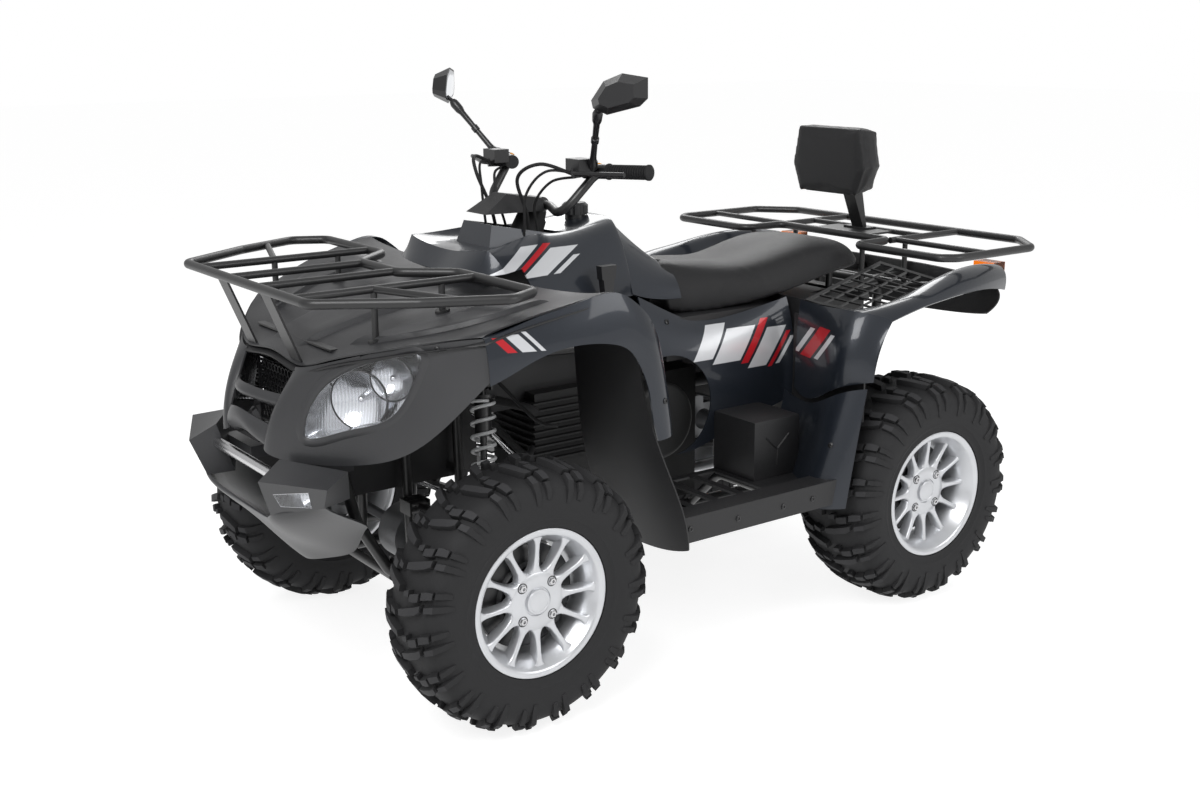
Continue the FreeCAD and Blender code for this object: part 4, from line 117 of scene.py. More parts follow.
class QuadSeatSizes(bpy.types.PropertyGroup):
    cell: length("Cell", "Size of a cell of the remeshed cushion", 0.0065)
    shrink: length("Shrink", "How much smaller than the CAD cushion the foam starts", 0.004)
    swell: length("Swell", "Furthest that a point of the seat may swell", 0.009)
    pad_swell: length("Pad swell", "Furthest that a point of the back pad may swell", 0.004)


class QuadBarSizes(bpy.types.PropertyGroup):
    grip_radius: length("Grip radius", "Radius of a grip over its ribs", 0.0175)
    rib_count: count("Ribs", "Ribs on each grip", 15)
    cable_radius: length("Cable radius", "Radius of a control cable", 0.0034)
    hose_radius: length("Hose radius", "Radius of a brake hose", 0.0045)


class QuadTrimSizes(bpy.types.PropertyGroup):
    screw_radius: length("Screw radius", "Radius of a panel screw's head", 0.0075)
    screw_height: length("Screw height", "Height of a panel screw's head", 0.0032)
    comb_cell: length("Comb cell", "Width of a cell of the nose mesh", 0.018)
    lens_wall: length("Lens wall", "Thickness of a lamp's clear lens", 0.0025)


class QuadColours(bpy.types.PropertyGroup):
    paint: colour("Paint", "Dark metallic lacquer of the panels", (0.012, 0.015, 0.021))
    satin: colour("Satin plastic", "Hood, nose mask and bumper", (0.034, 0.0345, 0.037))
    grained: colour("Grained plastic", "Guards, footboards and trim", (0.009, 0.009, 0.010))
    rubber: colour("Rubber", "Tyres", (0.014, 0.014, 0.015))
    vinyl: colour("Vinyl", "Seat cover", (0.012, 0.012, 0.013))
    silver: colour("Silver", "Wheel lacquer", (0.62, 0.63, 0.65))
    coat: colour("Powder coat", "Frame, arms and racks", (0.006, 0.006, 0.0065))
    cast: colour("Cast metal", "Axle housings and knuckles", (0.16, 0.163, 0.168))
    spring: colour("Spring paint", "Coil springs", (0.82, 0.83, 0.84))
    splash: colour("Splash", "Pale marks on the panels", (0.62, 0.63, 0.65))
    accent: colour("Accent", "Red marks on the panels", (0.5, 0.012, 0.02))
    amber: colour("Amber", "Side lenses of the tail lamps", (0.9, 0.2, 0.01))


GROUPS = {
    "quad_tyres": QuadTyreSizes,
    "quad_wheels": QuadWheelSizes,
    "quad_springs": QuadSpringSizes,
    "quad_seat": QuadSeatSizes,
    "quad_bar": QuadBarSizes,
    "quad_trim": QuadTrimSizes,
    "quad_colours": QuadColours,
}

# Shader maths.


class Signal:
    """An output of a node that can stand in a sum."""

    def __init__(self, nodes, socket):
        self.nodes = nodes
        self.socket = socket

    def output(self, name):
        return Signal(self.nodes, self.socket.node.outputs[name])

    def math(self, operation, *values, clamp=False):
        return self.nodes.node("ShaderNodeMath", {"operation": operation, "use_clamp": clamp}, values)

    def __add__(self, other):
        return self.math("ADD", self, other)

    def __radd__(self, other):
        return self.math("ADD", other, self)

    def __sub__(self, other):
        return self.math("SUBTRACT", self, other)

    def __rsub__(self, other):
        return self.math("SUBTRACT", other, self)

    def __mul__(self, other):
        return self.math("MULTIPLY", self, other)

    def __rmul__(self, other):
        return self.math("MULTIPLY", other, self)

    def __truediv__(self, other):
        return self.math("DIVIDE", self, other)

    def __rtruediv__(self, other):
        return self.math("DIVIDE", other, self)

    def __abs__(self):
        return self.math("ABSOLUTE", self)

    def clamped(self):
        return self.math("ADD", self, 0, clamp=True)

    def above(self, edge, softness):
        """0 below the edge and 1 above it."""
        return ((self - edge) / softness + 0.5).clamped()

    def between(self, low, high, softness):
        return self.above(low, softness) * (1 - self.above(high, softness))


class NodeTree:
    """The nodes of a finish or of the world."""

    def __init__(self, tree):
        self.tree = tree

    def node(self, kind, settings=None, inputs=(), output=0):
        made = self.tree.nodes.new(kind)
        for name, value in (settings or {}).items():
            setattr(made, name, value)
        pairs = inputs.items() if isinstance(inputs, dict) else enumerate(inputs)
        for key, value in pairs:
            if isinstance(value, Signal):
                self.tree.links.new(value.socket, made.inputs[key])
            else:
                made.inputs[key].default_value = value
        return Signal(self, made.outputs[output])


class Finish(NodeTree):
    """A procedural material: one shader and the nodes that feed it."""

    made = {}

    def __init__(self, name, constants):
        self.material = bpy.data.materials.new(name)
        self.material.use_nodes = True
        super().__init__(self.material.node_tree)
        self.shader = self.tree.nodes["Principled BSDF"]
        for socket, value in constants.items():
            self.shader.inputs[socket].default_value = value
        Finish.made[name] = self.material

    def place(self):
        """Where the point lies on the piece, in metres."""
        return self.node("ShaderNodeTexCoord", output="Object")

    def axes(self):
        split = self.node("ShaderNodeSeparateXYZ", inputs=[self.place()])
        return split, split.output("Y"), split.output("Z")

    def noise(self, scale, detail=3.0):
        inputs = {"Vector": self.place(), "Scale": scale, "Detail": detail}
        return self.node("ShaderNodeTexNoise", inputs=inputs)

    def cells(self, scale, feature="F1"):
        inputs = {"Vector": self.place(), "Scale": scale}
        return self.node("ShaderNodeTexVoronoi", {"feature": feature}, inputs)

    def mix(self, factor, low, high):
        inputs = {0: factor, 6: tone(low), 7: tone(high)}
        return self.node("ShaderNodeMix", {"data_type": "RGBA"}, inputs, output=2)

    def feed(self, socket, signal):
        self.tree.links.new(signal.socket, self.shader.inputs[socket])

    def relief(self, height, depth):
        """Bump of a given depth in metres from a height of 0 to 1."""
        bump = self.node("ShaderNodeBump", inputs={"Strength": 1.0, "Distance": depth, "Height": height})
        self.feed("Normal", bump)


def tone(value):
    return value if isinstance(value, Signal) else (*value[:3], 1.0)


def scaled(value, factor):
    return [min(1.0, channel * factor) for channel in value]


# Flutes of a lamp's inside: radians of the wave in a metre.
FLUTES = 620.0


def worn_plastic(name, base, roughness, grain, depth, sheen=0.06):
    """Moulded plastic: fine grain, cloudy tone and a worn shine in patches."""
    finish = Finish(name, {"Specular IOR Level": 0.5})
    cloud = finish.noise(6.0)
    finish.feed("Base Color", finish.mix(cloud, scaled(base, 0.85), scaled(base, 1.2)))
    finish.feed("Roughness", roughness - sheen + cloud * sheen * 2)
    finish.relief(finish.noise(grain, 2.0), depth)
    return finish


def coated_steel(name, base, roughness=0.38):
    """Powder coat: a slightly pebbled film."""
    finish = Finish(name, {"Coat Roughness": 0.25})
    cloud = finish.noise(9.0)
    finish.feed("Base Color", finish.mix(cloud, scaled(base, 0.8), scaled(base, 1.4)))
    finish.feed("Roughness", roughness + cloud * 0.12)
    finish.feed("Coat Weight", 0.25 + cloud * 0.1)
    finish.relief(finish.noise(420.0, 1.0), 0.00012)
    return finish


def metal(name, base, roughness, grain=700.0, depth=0.00008, metallic=1.0):
    finish = Finish(name, {"Metallic": metallic})
    cloud = finish.noise(14.0)
    finish.feed("Base Color", finish.mix(cloud, scaled(base, 0.9), scaled(base, 1.08)))
    finish.feed("Roughness", roughness - 0.05 + cloud * 0.1)
    finish.relief(finish.noise(grain, 2.0), depth)
    return finish


def lacquer(name, colours, marks=(), inner=0.0, wrap=0):
    """Dark metallic lacquer under a clear coat.

    A panel's marks lie further out than inner, and wrap carries them round a front corner.
    """
    constants = {"Coat Roughness": 0.06, "Coat IOR": 1.38, "Specular IOR Level": 0.35, "Metallic": 0.3}
    finish = Finish(name, constants)
    flakes = finish.cells(1500.0)
    cloud = finish.noise(3.0)
    base = finish.mix(cloud * 0.6 + flakes * 0.5, scaled(colours.paint, 0.75), scaled(colours.paint, 1.7))
    across, along, up = finish.axes()
    for tint, slant, band, ends in marks:
        skew = along + abs(across) * wrap - up * slant
        mask = skew.between(*band, MARK_EDGE) * up.between(*ends, MARK_EDGE)
        mask = mask * abs(across).above(inner, INNER_EDGE)
        base = finish.mix(mask, base, getattr(colours, tint))
    finish.feed("Base Color", base)
    finish.feed("Roughness", 0.3 + cloud * 0.08)
    finish.feed("Coat Weight", 0.7 + cloud * 0.1)
    finish.relief(finish.noise(60.0, 1.0), 0.00015)
    return finish


def bowl_with_painted_reflection(name, dark, pale):
    """Chromed lamp inside with a painted reflection: paler where it looks up, darker where it looks down,
    with faint flutes.
    """
    finish = Finish(name, {"Metallic": 0.85})
    facing = finish.node("ShaderNodeNewGeometry", output="Normal")
    up = finish.node("ShaderNodeSeparateXYZ", inputs=[facing]).output("Z")
    across, along, _ = finish.axes()
    spread = (across + along) * FLUTES
    flutes = spread.math("SINE", spread) * 0.5 + 0.5
    # Painted reflection: the colour runs from dark on faces that look down to pale on faces that look up.
    finish.feed("Base Color", finish.mix((up * 0.9 + 0.42 + flutes * 0.12).clamped(), dark, pale))
    finish.feed("Roughness", 0.12 + flutes * 0.06)
    finish.relief(flutes, 0.0001)
    return finish


def rubber(name, base):
    finish = Finish(name, {"Specular IOR Level": 0.35})
    dust = finish.noise(11.0)
    finish.feed("Base Color", finish.mix(dust, scaled(base, 0.75), scaled(base, 1.5)))
    finish.feed("Roughness", 0.62 + dust * 0.2)
    finish.relief(finish.noise(500.0, 2.0), 0.0002)
    return finish


def vinyl(name, base):
    """Seat cover: a fine leather grain with a soft shine."""
    finish = Finish(name, {"Specular IOR Level": 0.32})
    grain = finish.cells(620.0, "DISTANCE_TO_EDGE")
    cloud = finish.noise(5.0)
    finish.feed("Base Color", finish.mix(cloud, scaled(base, 0.8), scaled(base, 1.25)))
    finish.feed("Roughness", 0.42 + cloud * 0.12)
    finish.relief((grain * 5).clamped() + finish.noise(30.0) * 0.4, 0.00018)
    return finish


def clear(name, tint, roughness=0.0):
    finish = Finish(name, {"Base Color": (*tint, 1), "Transmission Weight": 1.0, "IOR": 1.35})
    finish.feed("Roughness", roughness + finish.noise(8.0) * 0.008)
    return finish


# Marks on the panels: tint, slant, span along the panel less the height times the slant, and span in height.
MARK_EDGE = 0.0012
INNER_EDGE = 0.001
TANK_MARKS_FROM = 0.15
TANK_MARKS = (
    ("splash", 2.4, (-2.875, -2.82), (0.968, 1.03)),
    ("accent", 2.4, (-2.805, -2.78), (0.965, 1.035)),
    ("splash", 2.4, (-2.765, -2.68), (0.965, 1.02)),
    ("splash", 2.4, (-2.66, -2.638), (0.965, 1.0)),
)
PANEL_MARKS = (
    ("splash", 0.8, (-0.47, -0.405), (0.69, 0.775)),
    ("splash", 0.8, (-0.395, -0.3), (0.675, 0.76)),
    ("accent", 0.8, (-0.29, -0.265), (0.665, 0.775)),
    ("splash", 0.8, (-0.255, -0.19), (0.65, 0.75)),
    ("accent", 0.8, (-0.18, -0.166), (0.645, 0.735)),
    ("splash", 0.8, (-0.156, -0.142), (0.65, 0.72)),
)
FENDER_MARKS = (
    ("splash", 0.8, (0.125, 0.142), (0.69, 0.765)),
    ("accent", 0.8, (0.152, 0.19), (0.685, 0.775)),
    ("splash", 0.8, (0.2, 0.214), (0.69, 0.765)),
)
BAND_MARKS = (
    ("accent", -0.9, (0.105, 0.125), (0.872, 0.905)),
    ("splash", -0.9, (0.135, 0.165), (0.872, 0.91)),
    ("splash", -0.9, (0.175, 0.185), (0.872, 0.915)),
)


def make_finishes(colours):
    """Makes every finish. Finish.made keeps them by name."""
    lacquer("lacquer", colours)
    lacquer("tank_lacquer", colours, TANK_MARKS, inner=TANK_MARKS_FROM)
    lacquer("panel_lacquer", colours, PANEL_MARKS)
    lacquer("rear_fender_lacquer", colours, FENDER_MARKS, wrap=1)
    lacquer("front_fender_lacquer", colours, BAND_MARKS)
    worn_plastic("satin_plastic", colours.satin, 0.4, 260.0, 0.00025)
    worn_plastic("grained_plastic", colours.grained, 0.5, 520.0, 0.0004)
    worn_plastic("smooth_black", colours.grained, 0.33, 200.0, 0.0001)
    rubber("tyre_rubber", colours.rubber)
    rubber("lug_top_rubber", scaled(colours.rubber, 1.9))
    rubber("grip_rubber", scaled(colours.rubber, 0.7))
    vinyl("seat_vinyl", colours.vinyl)
    metal("wheel_silver", colours.silver, 0.32, metallic=0.7)
    coated_steel("powder_coat", colours.coat)
    coated_steel("rack_coat", scaled(colours.coat, 1.2), 0.45)
    metal("cast_metal", colours.cast, 0.48, 240.0, 0.0004)
    metal("engine_paint", scaled(colours.cast, 0.06), 0.6, 240.0, 0.0004, 0.2)
    metal("bright_steel", (0.6, 0.6, 0.61), 0.24)
    coated_steel("spring_paint", scaled(colours.spring, 0.8), 0.3)
    coated_steel("damper_black", scaled(colours.coat, 1.5))
    metal("pipe_black", (0.05, 0.05, 0.052), 0.55, 300.0, 0.0003, 0.4)
    clear("lens", (0.97, 0.98, 1.0))
    clear("amber_lens", colours.amber, 0.12)
    # Lamp insides: chrome with a painted reflection, paler facing up and darker facing down.
    bowl_with_painted_reflection("reflector", (0.16, 0.165, 0.175), (0.92, 0.93, 0.95))
    bowl_with_painted_reflection("lamp_inside", (0.05, 0.052, 0.056), (0.75, 0.76, 0.78))
    metal("mirror_glass", (0.85, 0.87, 0.9), 0.06, 20.0, 0.00002)
    clear("screen", (0.05, 0.06, 0.07))
    worn_plastic("button_yellow", (0.75, 0.32, 0.01), 0.35, 300.0, 0.0001)
    worn_plastic("button_red", (0.5, 0.01, 0.01), 0.35, 300.0, 0.0001)


# Which nodes wear each finish.
NODE_FINISHES = {
    "tank_lacquer": ("tank_cover",),
    "panel_lacquer": ("side_panels",),
    "rear_fender_lacquer": ("rear_fender_left", "rear_fender_right"),
    "front_fender_lacquer": ("front_fender_left", "front_fender_right"),
    "satin_plastic": ("hood", "cowl", "front_bumper"),
    "lacquer": ("rear_guards",),
    "grained_plastic": ("front_mudguards", "footboards", "tail_panel", "instrument_pod"),
    "smooth_black": ("bar_controls", "mirrors", "fuel_cap", "grille", "gear_lever"),
    "tyre_rubber": ("tyre_front_left", "tyre_front_right", "tyre_rear_left", "tyre_rear_right"),
    "grip_rubber": ("grips",),
    "seat_vinyl": ("seat", "backrest_pad"),
    "wheel_silver": ("rim_front_left", "rim_front_right", "rim_rear_left", "rim_rear_right"),
    "powder_coat": (
        "frame",
        "front_arms",
        "rear_arms",
        "tow_hitch",
        "handlebar",
        "mesh_panels",
        "backrest_post",
    ),
    "rack_coat": ("front_rack", "rear_rack"),
    "cast_metal": ("front_drive", "rear_drive", "rear_hubs", "knuckle_left", "knuckle_right"),
    "engine_paint": ("engine",),
    "bright_steel": ("tie_rod_left", "tie_rod_right", "bumper_bar"),
    "spring_paint": ("springs",),
    "damper_black": ("shocks",),
    "pipe_black": ("exhaust",),
    "lens": ("headlights", "fog_lamps"),
    "amber_lens": ("tail_lamps",),
}


def finish_of(name):
    return Finish.made[name]


# Making pieces.

# Points of CAD triangles that lie closer than this are one.
MERGE = 1e-5


def add_piece(name, mesh, body, finish, crease_deg=35):
    """Puts a mesh in the scene as a piece. It rides on a body, if one is given."""
    data = bpy.data.meshes.new(name)
    bmesh.ops.recalc_face_normals(mesh, faces=mesh.faces)
    mesh.to_mesh(data)
    mesh.free()
    data.polygons.foreach_set("use_smooth", [True] * len(data.polygons))
    data.set_sharp_from_angle(angle=math.radians(crease_deg))
    data.materials.append(finish_of(finish))
    piece = bpy.data.objects.new(name, data)
    bpy.context.scene.collection.objects.link(piece)
    if body:
        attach(piece, body)
    return piece


def join_rings(mesh, rings, loop=False):
    """Faces between rings of points, closed by a cap at each end or joined end to end."""
    made = [[mesh.verts.new(point) for point in ring] for ring in rings]
    pairs = list(zip(made, made[1:]))
    if loop:
        pairs.append((made[-1], made[0]))
    for near, far in pairs:
        for i in range(len(near)):
            j = (i + 1) % len(near)
            mesh.faces.new((near[i], near[j], far[j], far[i]))
    if not loop:
        mesh.faces.new(made[0][::-1])
        mesh.faces.new(made[-1])


def square_to(direction):
    """Two unit directions square to the given one."""
    guide = Vector((0, 0, 1)) if abs(direction.z) < 0.9 else Vector((0, 1, 0))
    across = direction.cross(guide).normalized()
    return across, direction.cross(across).normalized()


def turn(mesh, profile, start, direction, steps=32, hollow=False):
    """Turns a profile of (distance along, radius) about an axis: capped at its ends, or a hollow ring."""
    direction = direction.normalized()
    across, up = square_to(direction)
    rings = []
    for along, radius in profile:
        centre = start + direction * along
        angles = [FULL_TURN * i / steps for i in range(steps)]
        rings.append([centre + (across * math.cos(a) + up * math.sin(a)) * radius for a in angles])
    join_rings(mesh, rings, loop=hollow)


def follow(mesh, points, radius, sides=8):
    """A round wire along a list of points."""
    points = [Vector(p) for p in points]
    rings = []
    across = None
    for i, point in enumerate(points):
        ahead = points[min(i + 1, len(points) - 1)] - points[max(i - 1, 0)]
        ahead.normalize()
        if across is None:
            across, _ = square_to(ahead)
        across = (across - ahead * across.dot(ahead)).normalized()
        up = ahead.cross(across)
        angles = [FULL_TURN * k / sides for k in range(sides)]
        rings.append([point + (across * math.cos(a) + up * math.sin(a)) * radius for a in angles])
    join_rings(mesh, rings)


def slab(mesh, outline, out, thickness):
    """A flat outline given a thickness along a direction."""
    join_rings(mesh, [list(outline), [p + out * thickness for p in outline]])


def between_points(p, q, r, s, t):
    """The value at t of a smooth curve that runs from q to r, with p before it and s after it."""
    return 0.5 * (2 * q + (r - p) * t + (2 * p - 5 * q + 4 * r - s) * t * t + (3 * q - p - 3 * r + s) * t**3)


def smooth_through(points, steps):
    """Points on a smooth line through the given ones."""
    ends = [points[0]] + list(points) + [points[-1]]
    found = []
    for a, b, c, d in zip(ends, ends[1:], ends[2:], ends[3:]):
        for i in range(steps):
            t = i / steps
            found.append([between_points(*values, t) for values in zip(a, b, c, d)])
    found.append(list(points[-1]))
    return found


def patch(faces):
    """A mesh from triangles given by their points, joined where they meet."""
    mesh = bmesh.new()
    for points in faces:
        mesh.faces.new([mesh.verts.new(p) for p in points])
    bmesh.ops.remove_doubles(mesh, verts=mesh.verts, dist=MERGE)
    return mesh


def copy_of(node):
    """A mesh with the shape of a CAD node, joined at its seams."""
    mesh = bmesh.new()
    mesh.from_mesh(NODES[node].data)
    bmesh.ops.remove_doubles(mesh, verts=mesh.verts, dist=MERGE)
    return mesh


def brick(mesh, low, high):
    """A block between two corners."""
    foot = ((low.x, low.y), (high.x, low.y), (high.x, high.y), (low.x, high.y))
    slab(mesh, [Vector((x, y, low.z)) for x, y in foot], Vector((0, 0, 1)), high.z - low.z)


def soften(mesh, width):
    """Rounds every edge of a mesh."""
    bmesh.ops.recalc_face_normals(mesh, faces=mesh.faces)
    bmesh.ops.bevel(mesh, geom=mesh.edges[:], offset=width, segments=2, profile=0.7, affect="EDGES")


def nested(outline, out, loops):
    """Copies of an outline, each a share of its size about its middle and lifted off it."""
    middle = sum(outline, Vector()) / len(outline)
    return [[middle + (p - middle) * size + out * lift for p in outline] for size, lift in loops]


def mirrored(point, side):
    return Vector((point[0] * side, point[1], point[2]))


# Tyres and wheels.

# One side of the carcass, from the crown to the bead: share of the half width, and radius in metres.
CARCASS = (
    (0.0, 0.2955),
    (0.4, 0.2935),
    (0.68, 0.2865),
    (0.86, 0.2735),
    (0.955, 0.254),
    (0.985, 0.228),
    (0.965, 0.202),
    (0.925, 0.186),
)
BEAD = ((-0.0085, 0.1745), (-0.0185, 0.1735), (-0.0185, 0.156))
SIDEWALL_RINGS = (0.197, 0.262)
# Lugs on one side of the tread, for a tyre of the reference half width. Each is a row of (distance from the
# middle, distance round, width) in metres, and a height as a share of the middle lugs.
LUGS = (
    (((0.003, -0.021, 0.018), (0.03, -0.013, 0.023), (0.056, -0.002, 0.023), (0.067, 0.006, 0.018)), 1.0),
    (((0.036, 0.021, 0.019), (0.048, 0.024, 0.023), (0.060, 0.029, 0.023)), 0.95),
    (((0.064, 0.034, 0.022), (0.074, 0.038, 0.023), (0.086, 0.041, 0.020)), 0.85),
    (((0.090, 0.042, 0.017), (0.106, 0.046, 0.018), (0.126, 0.047, 0.014)), 0.6),
    (((0.074, 0.004, 0.017), (0.090, 0.009, 0.020), (0.112, 0.012, 0.019), (0.136, 0.013, 0.014)), 0.75),
    (((0.014, 0.024, 0.014), (0.030, 0.029, 0.018)), 0.9),
)
LUG_REFERENCE = 0.1
# Where the wall of a lug bends, as shares of its foot and its height, and the height of its leading edge.
LUG_BEND = (0.94, 0.55)
LUG_LEAD = 0.95
# Half width of a sidewall ring, and how far the lugs stay inside the CAD tyre.
RING_WIDTH = 0.0025
TREAD_CLEARANCE = 0.0002
# A lug's face is a top, in lighter rubber, when it looks out this squarely, with its way across counted for
# less.
TOP_LEAN = 0.6
TOP_FACING = 0.8
LINE_STEPS = 4
SPAN_SPARE = 1e-6


class Carcass:
    """The smooth shape of one tyre, and where a point of its tread lies."""

    def __init__(self, node, sizes):
        low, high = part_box(node)
        self.centre = (low + high) / 2
        self.half = (high.x - low.x) / 2
        self.radius = (high.z - low.z) / 2
        self.sizes = sizes
        half_line = [(a * self.half, b) for a, b in CARCASS]
        self.line = smooth_through(half_line, LINE_STEPS)
        self.spans = [0.0]
        for near, far in zip(self.line, self.line[1:]):
            self.spans.append(self.spans[-1] + math.dist(near, far))

    def section(self):
        """The closed outline of the carcass, across from bead to bead."""
        side = []
        for across, radius in self.line:
            ring = sum(max(0.0, 1 - abs(radius - place) / RING_WIDTH) for place in SIDEWALL_RINGS)
            side.append((across + ring * self.sizes.ring_height, radius))
        side += [(self.half + across, radius) for across, radius in BEAD]
        return [(-across, radius) for across, radius in reversed(side)] + side[1:]

    def at(self, span, lift):
        """A place on the profile: distance from the middle along it, and lift off it."""
        span = min(span, self.spans[-1] - SPAN_SPARE)
        i = max(k for k, reach in enumerate(self.spans[:-1]) if reach <= span)
        near, far = self.line[i], self.line[i + 1]
        t = (span - self.spans[i]) / (self.spans[i + 1] - self.spans[i])
        run = (far[0] - near[0], far[1] - near[1])
        size = math.hypot(*run)
        across = near[0] + run[0] * t - run[1] / size * lift
        radius = near[1] + run[1] * t + run[0] / size * lift
        return min(across, self.half), min(radius, self.radius - TREAD_CLEARANCE)

    def point(self, across, radius, angle):
        return self.centre + Vector((across, radius * math.cos(angle), radius * math.sin(angle)))


def make_tyre(name, sizes):
    shape = Carcass(f"tyre_{name}", sizes)
    mesh = bmesh.new()
    section = shape.section()
    rings = []
    for i in range(sizes.steps):
        angle = FULL_TURN * i / sizes.steps
        rings.append([shape.point(across, radius, angle) for across, radius in section])
    join_rings(mesh, rings, loop=True)
    carcass_faces = len(mesh.faces)
    widen = shape.half / LUG_REFERENCE
    side_of_wheel = 1 if shape.centre.x > 0 else -1
    for pitch in range(sizes.pitches):
        for half in (1, -1):
            start = FULL_TURN * (pitch + (0.5 if half < 0 else 0)) / sizes.pitches
            for rows, height_share in LUGS:
                add_lug(mesh, shape, rows, height_share, start, half, side_of_wheel, widen)
    mark_tops(mesh, shape, carcass_faces)
    piece = add_piece(f"tread_{name}", mesh, f"wheel_{name}", "tyre_rubber", 28)
    piece.data.materials.append(finish_of("lug_top_rubber"))
    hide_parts(f"tyre_{name}")


def mark_tops(mesh, shape, first):
    """Gives the lighter rubber to the faces of the lugs that look straight out."""
    mesh.normal_update()
    mesh.faces.ensure_lookup_table()
    for face in mesh.faces[first:]:
        out = face.calc_center_median() - shape.centre
        out.x *= TOP_LEAN
        face.material_index = int(abs(face.normal.dot(out.normalized())) > TOP_FACING)


def add_lug(mesh, shape, rows, height_share, start, half, side_of_wheel, widen):
    """One lug: a bar with tapered walls along its row, rooted in the carcass."""
    sizes = shape.sizes
    height = sizes.lug_height * height_share
    rings = []
    for span, along, width in rows:
        ring = []
        foot, top = width / 2, width * sizes.lug_taper / 2
        for offset, lift in (
            (-foot, -sizes.lug_root),
            (-foot * LUG_BEND[0], height * LUG_BEND[1]),
            (-top, height * LUG_LEAD),
            (top, height),
            (foot * LUG_BEND[0], height * LUG_BEND[1]),
            (foot, -sizes.lug_root),
        ):
            angle = start + (along + offset) / shape.radius
            across, radius = shape.at(span * widen, lift)
            ring.append(shape.point(across * half, radius, -angle * side_of_wheel))
        rings.append(ring)
    join_rings(mesh, rings)


# Outline across a rim, with x from its edges: share of the half width, x off it, and radius, in metres.
RIM_OUTSIDE = (
    (1, 0.0, 0.1685),
    (1, -0.0015, 0.1722),
    (1, -0.0075, 0.1722),
    (1, -0.009, 0.1685),
    (1, -0.0105, 0.1545),
    (0.5, 0.0, 0.139),
)
RIM_INSIDE = (
    (0.5, 0.0, 0.133),
    (1, -0.03, 0.1405),
    (1, -0.012, 0.1525),
    (1, -0.006, 0.1555),
    (1, -0.003, 0.158),
)
# How far a rim's edge lies inside the tyre's side, and the hub's face inside the rim's edge.
RIM_INSET = 0.009
RIM_FACE_BACK = {"front": 0.022, "rear": 0.038}
# A spoke from the hub to the barrel: radius, half width and how far its face stands off the hub's.
SPOKE = (
    (0.060, 0.0165, 0.0),
    (0.066, 0.0172, 0.0),
    (0.071, 0.0128, 0.0002),
    (0.078, 0.0088, 0.001),
    (0.088, 0.0068, 0.0022),
    (0.105, 0.0058, 0.0042),
    (0.122, 0.0055, 0.0062),
    (0.135, 0.0062, 0.0075),
    (0.144, 0.0088, 0.0082),
    (0.150, 0.0135, 0.0084),
    (0.154, 0.017, 0.0084),
)
SPOKE_DEPTH = 0.024
# Across a spoke: share of its half width, and height off its face. Its back edges lie at the foot's share.
SPOKE_TOP = ((-1, -0.0035), (-0.8, -0.0009), (-0.4, 0), (0.4, 0), (0.8, -0.0009), (1, -0.0035))
SPOKE_FOOT = 1.12
# Profiles of turned pieces: distance along the axle, and radius or a share of the piece's radius.
HUB_PROFILE = (
    (-0.024, 0.064),
    (-0.008, 0.069),
    (-0.0015, 0.0685),
    (0.0006, 0.066),
    (0.0012, 0.05),
    (0.0012, 0.034),
    (-0.001, 0.033),
    (-0.001, 0.02),
)
CAP_PROFILE = (
    (-0.004, 1.0),
    (0.0062, 1.0),
    (0.0078, 0.94),
    (0.0078, 0.82),
    (0.0068, 0.78),
    (0.0082, 0.55),
    (0.009, 0.2),
)
NUT_PROFILE = ((-0.002, 1.0), (0.85, 1.0), (1.0, 0.85), (1.0, 0.5), (0.4, 0.4))
# A nut's well: a dark cup round the nut that paints the shade of its recess.
NUT_SHADE_WELL = ((-0.006, 1.45), (0.0014, 1.45), (0.0019, 1.35), (0.0012, 1.15), (-0.001, 1.1), (-0.001, 0.2))
# The brake housing: how far its back lies behind the hub's face, its profile, and its bore.
DRUM_BACK = 0.069
DRUM_PROFILE = ((0.0, 1.0), (0.022, 1.0), (0.028, 0.92), (0.028, 0.66), (0.036, 0.6))
DRUM_BORE = (0.036, 0.03)


def make_wheel(name, sizes):
    end, side_name = name.split("_")
    low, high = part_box(f"tyre_{name}")
    out = Vector((SIDES[side_name], 0, 0))
    centre = (low + high) / 2
    half = (high.x - low.x) / 2 - RIM_INSET
    hub = centre + out * (half - RIM_FACE_BACK[end])
    make_rim(name, sizes, centre, half, hub, out)

    mesh = bmesh.new()
    turn(mesh, [(along, share_of * sizes.cap_radius) for along, share_of in CAP_PROFILE], hub, out, 48)
    add_piece(f"cap_{name}", mesh, f"wheel_{name}", "wheel_silver")

    # The wells are black cups, painted shade in the recesses round the nuts.
    nuts, shade_wells = bmesh.new(), bmesh.new()
    nut = [
        (along * sizes.nut_height if along > 0 else along, share_of * sizes.nut_radius)
        for along, share_of in NUT_PROFILE
    ]
    well = [(along, share_of * sizes.nut_radius) for along, share_of in NUT_SHADE_WELL]
    for i in range(sizes.nut_count):
        angle = FULL_TURN * (i + 0.5) / sizes.nut_count
        place = hub + Vector((0, math.cos(angle), math.sin(angle))) * sizes.nut_pitch
        turn(nuts, nut, place, out, 6)
        turn(shade_wells, well, place, out, 28)
    add_piece(f"nuts_{name}", nuts, f"wheel_{name}", "bright_steel")
    add_piece(f"nut_wells_{name}", shade_wells, f"wheel_{name}", "damper_black")

    mesh = bmesh.new()
    profile = [(along - DRUM_BACK, share_of * sizes.drum_radius) for along, share_of in DRUM_PROFILE]
    profile.append((DRUM_BORE[0] - DRUM_BACK, DRUM_BORE[1]))
    turn(mesh, profile, hub, out, 64)
    add_piece(f"drum_{name}", mesh, f"wheel_{name}", "damper_black")


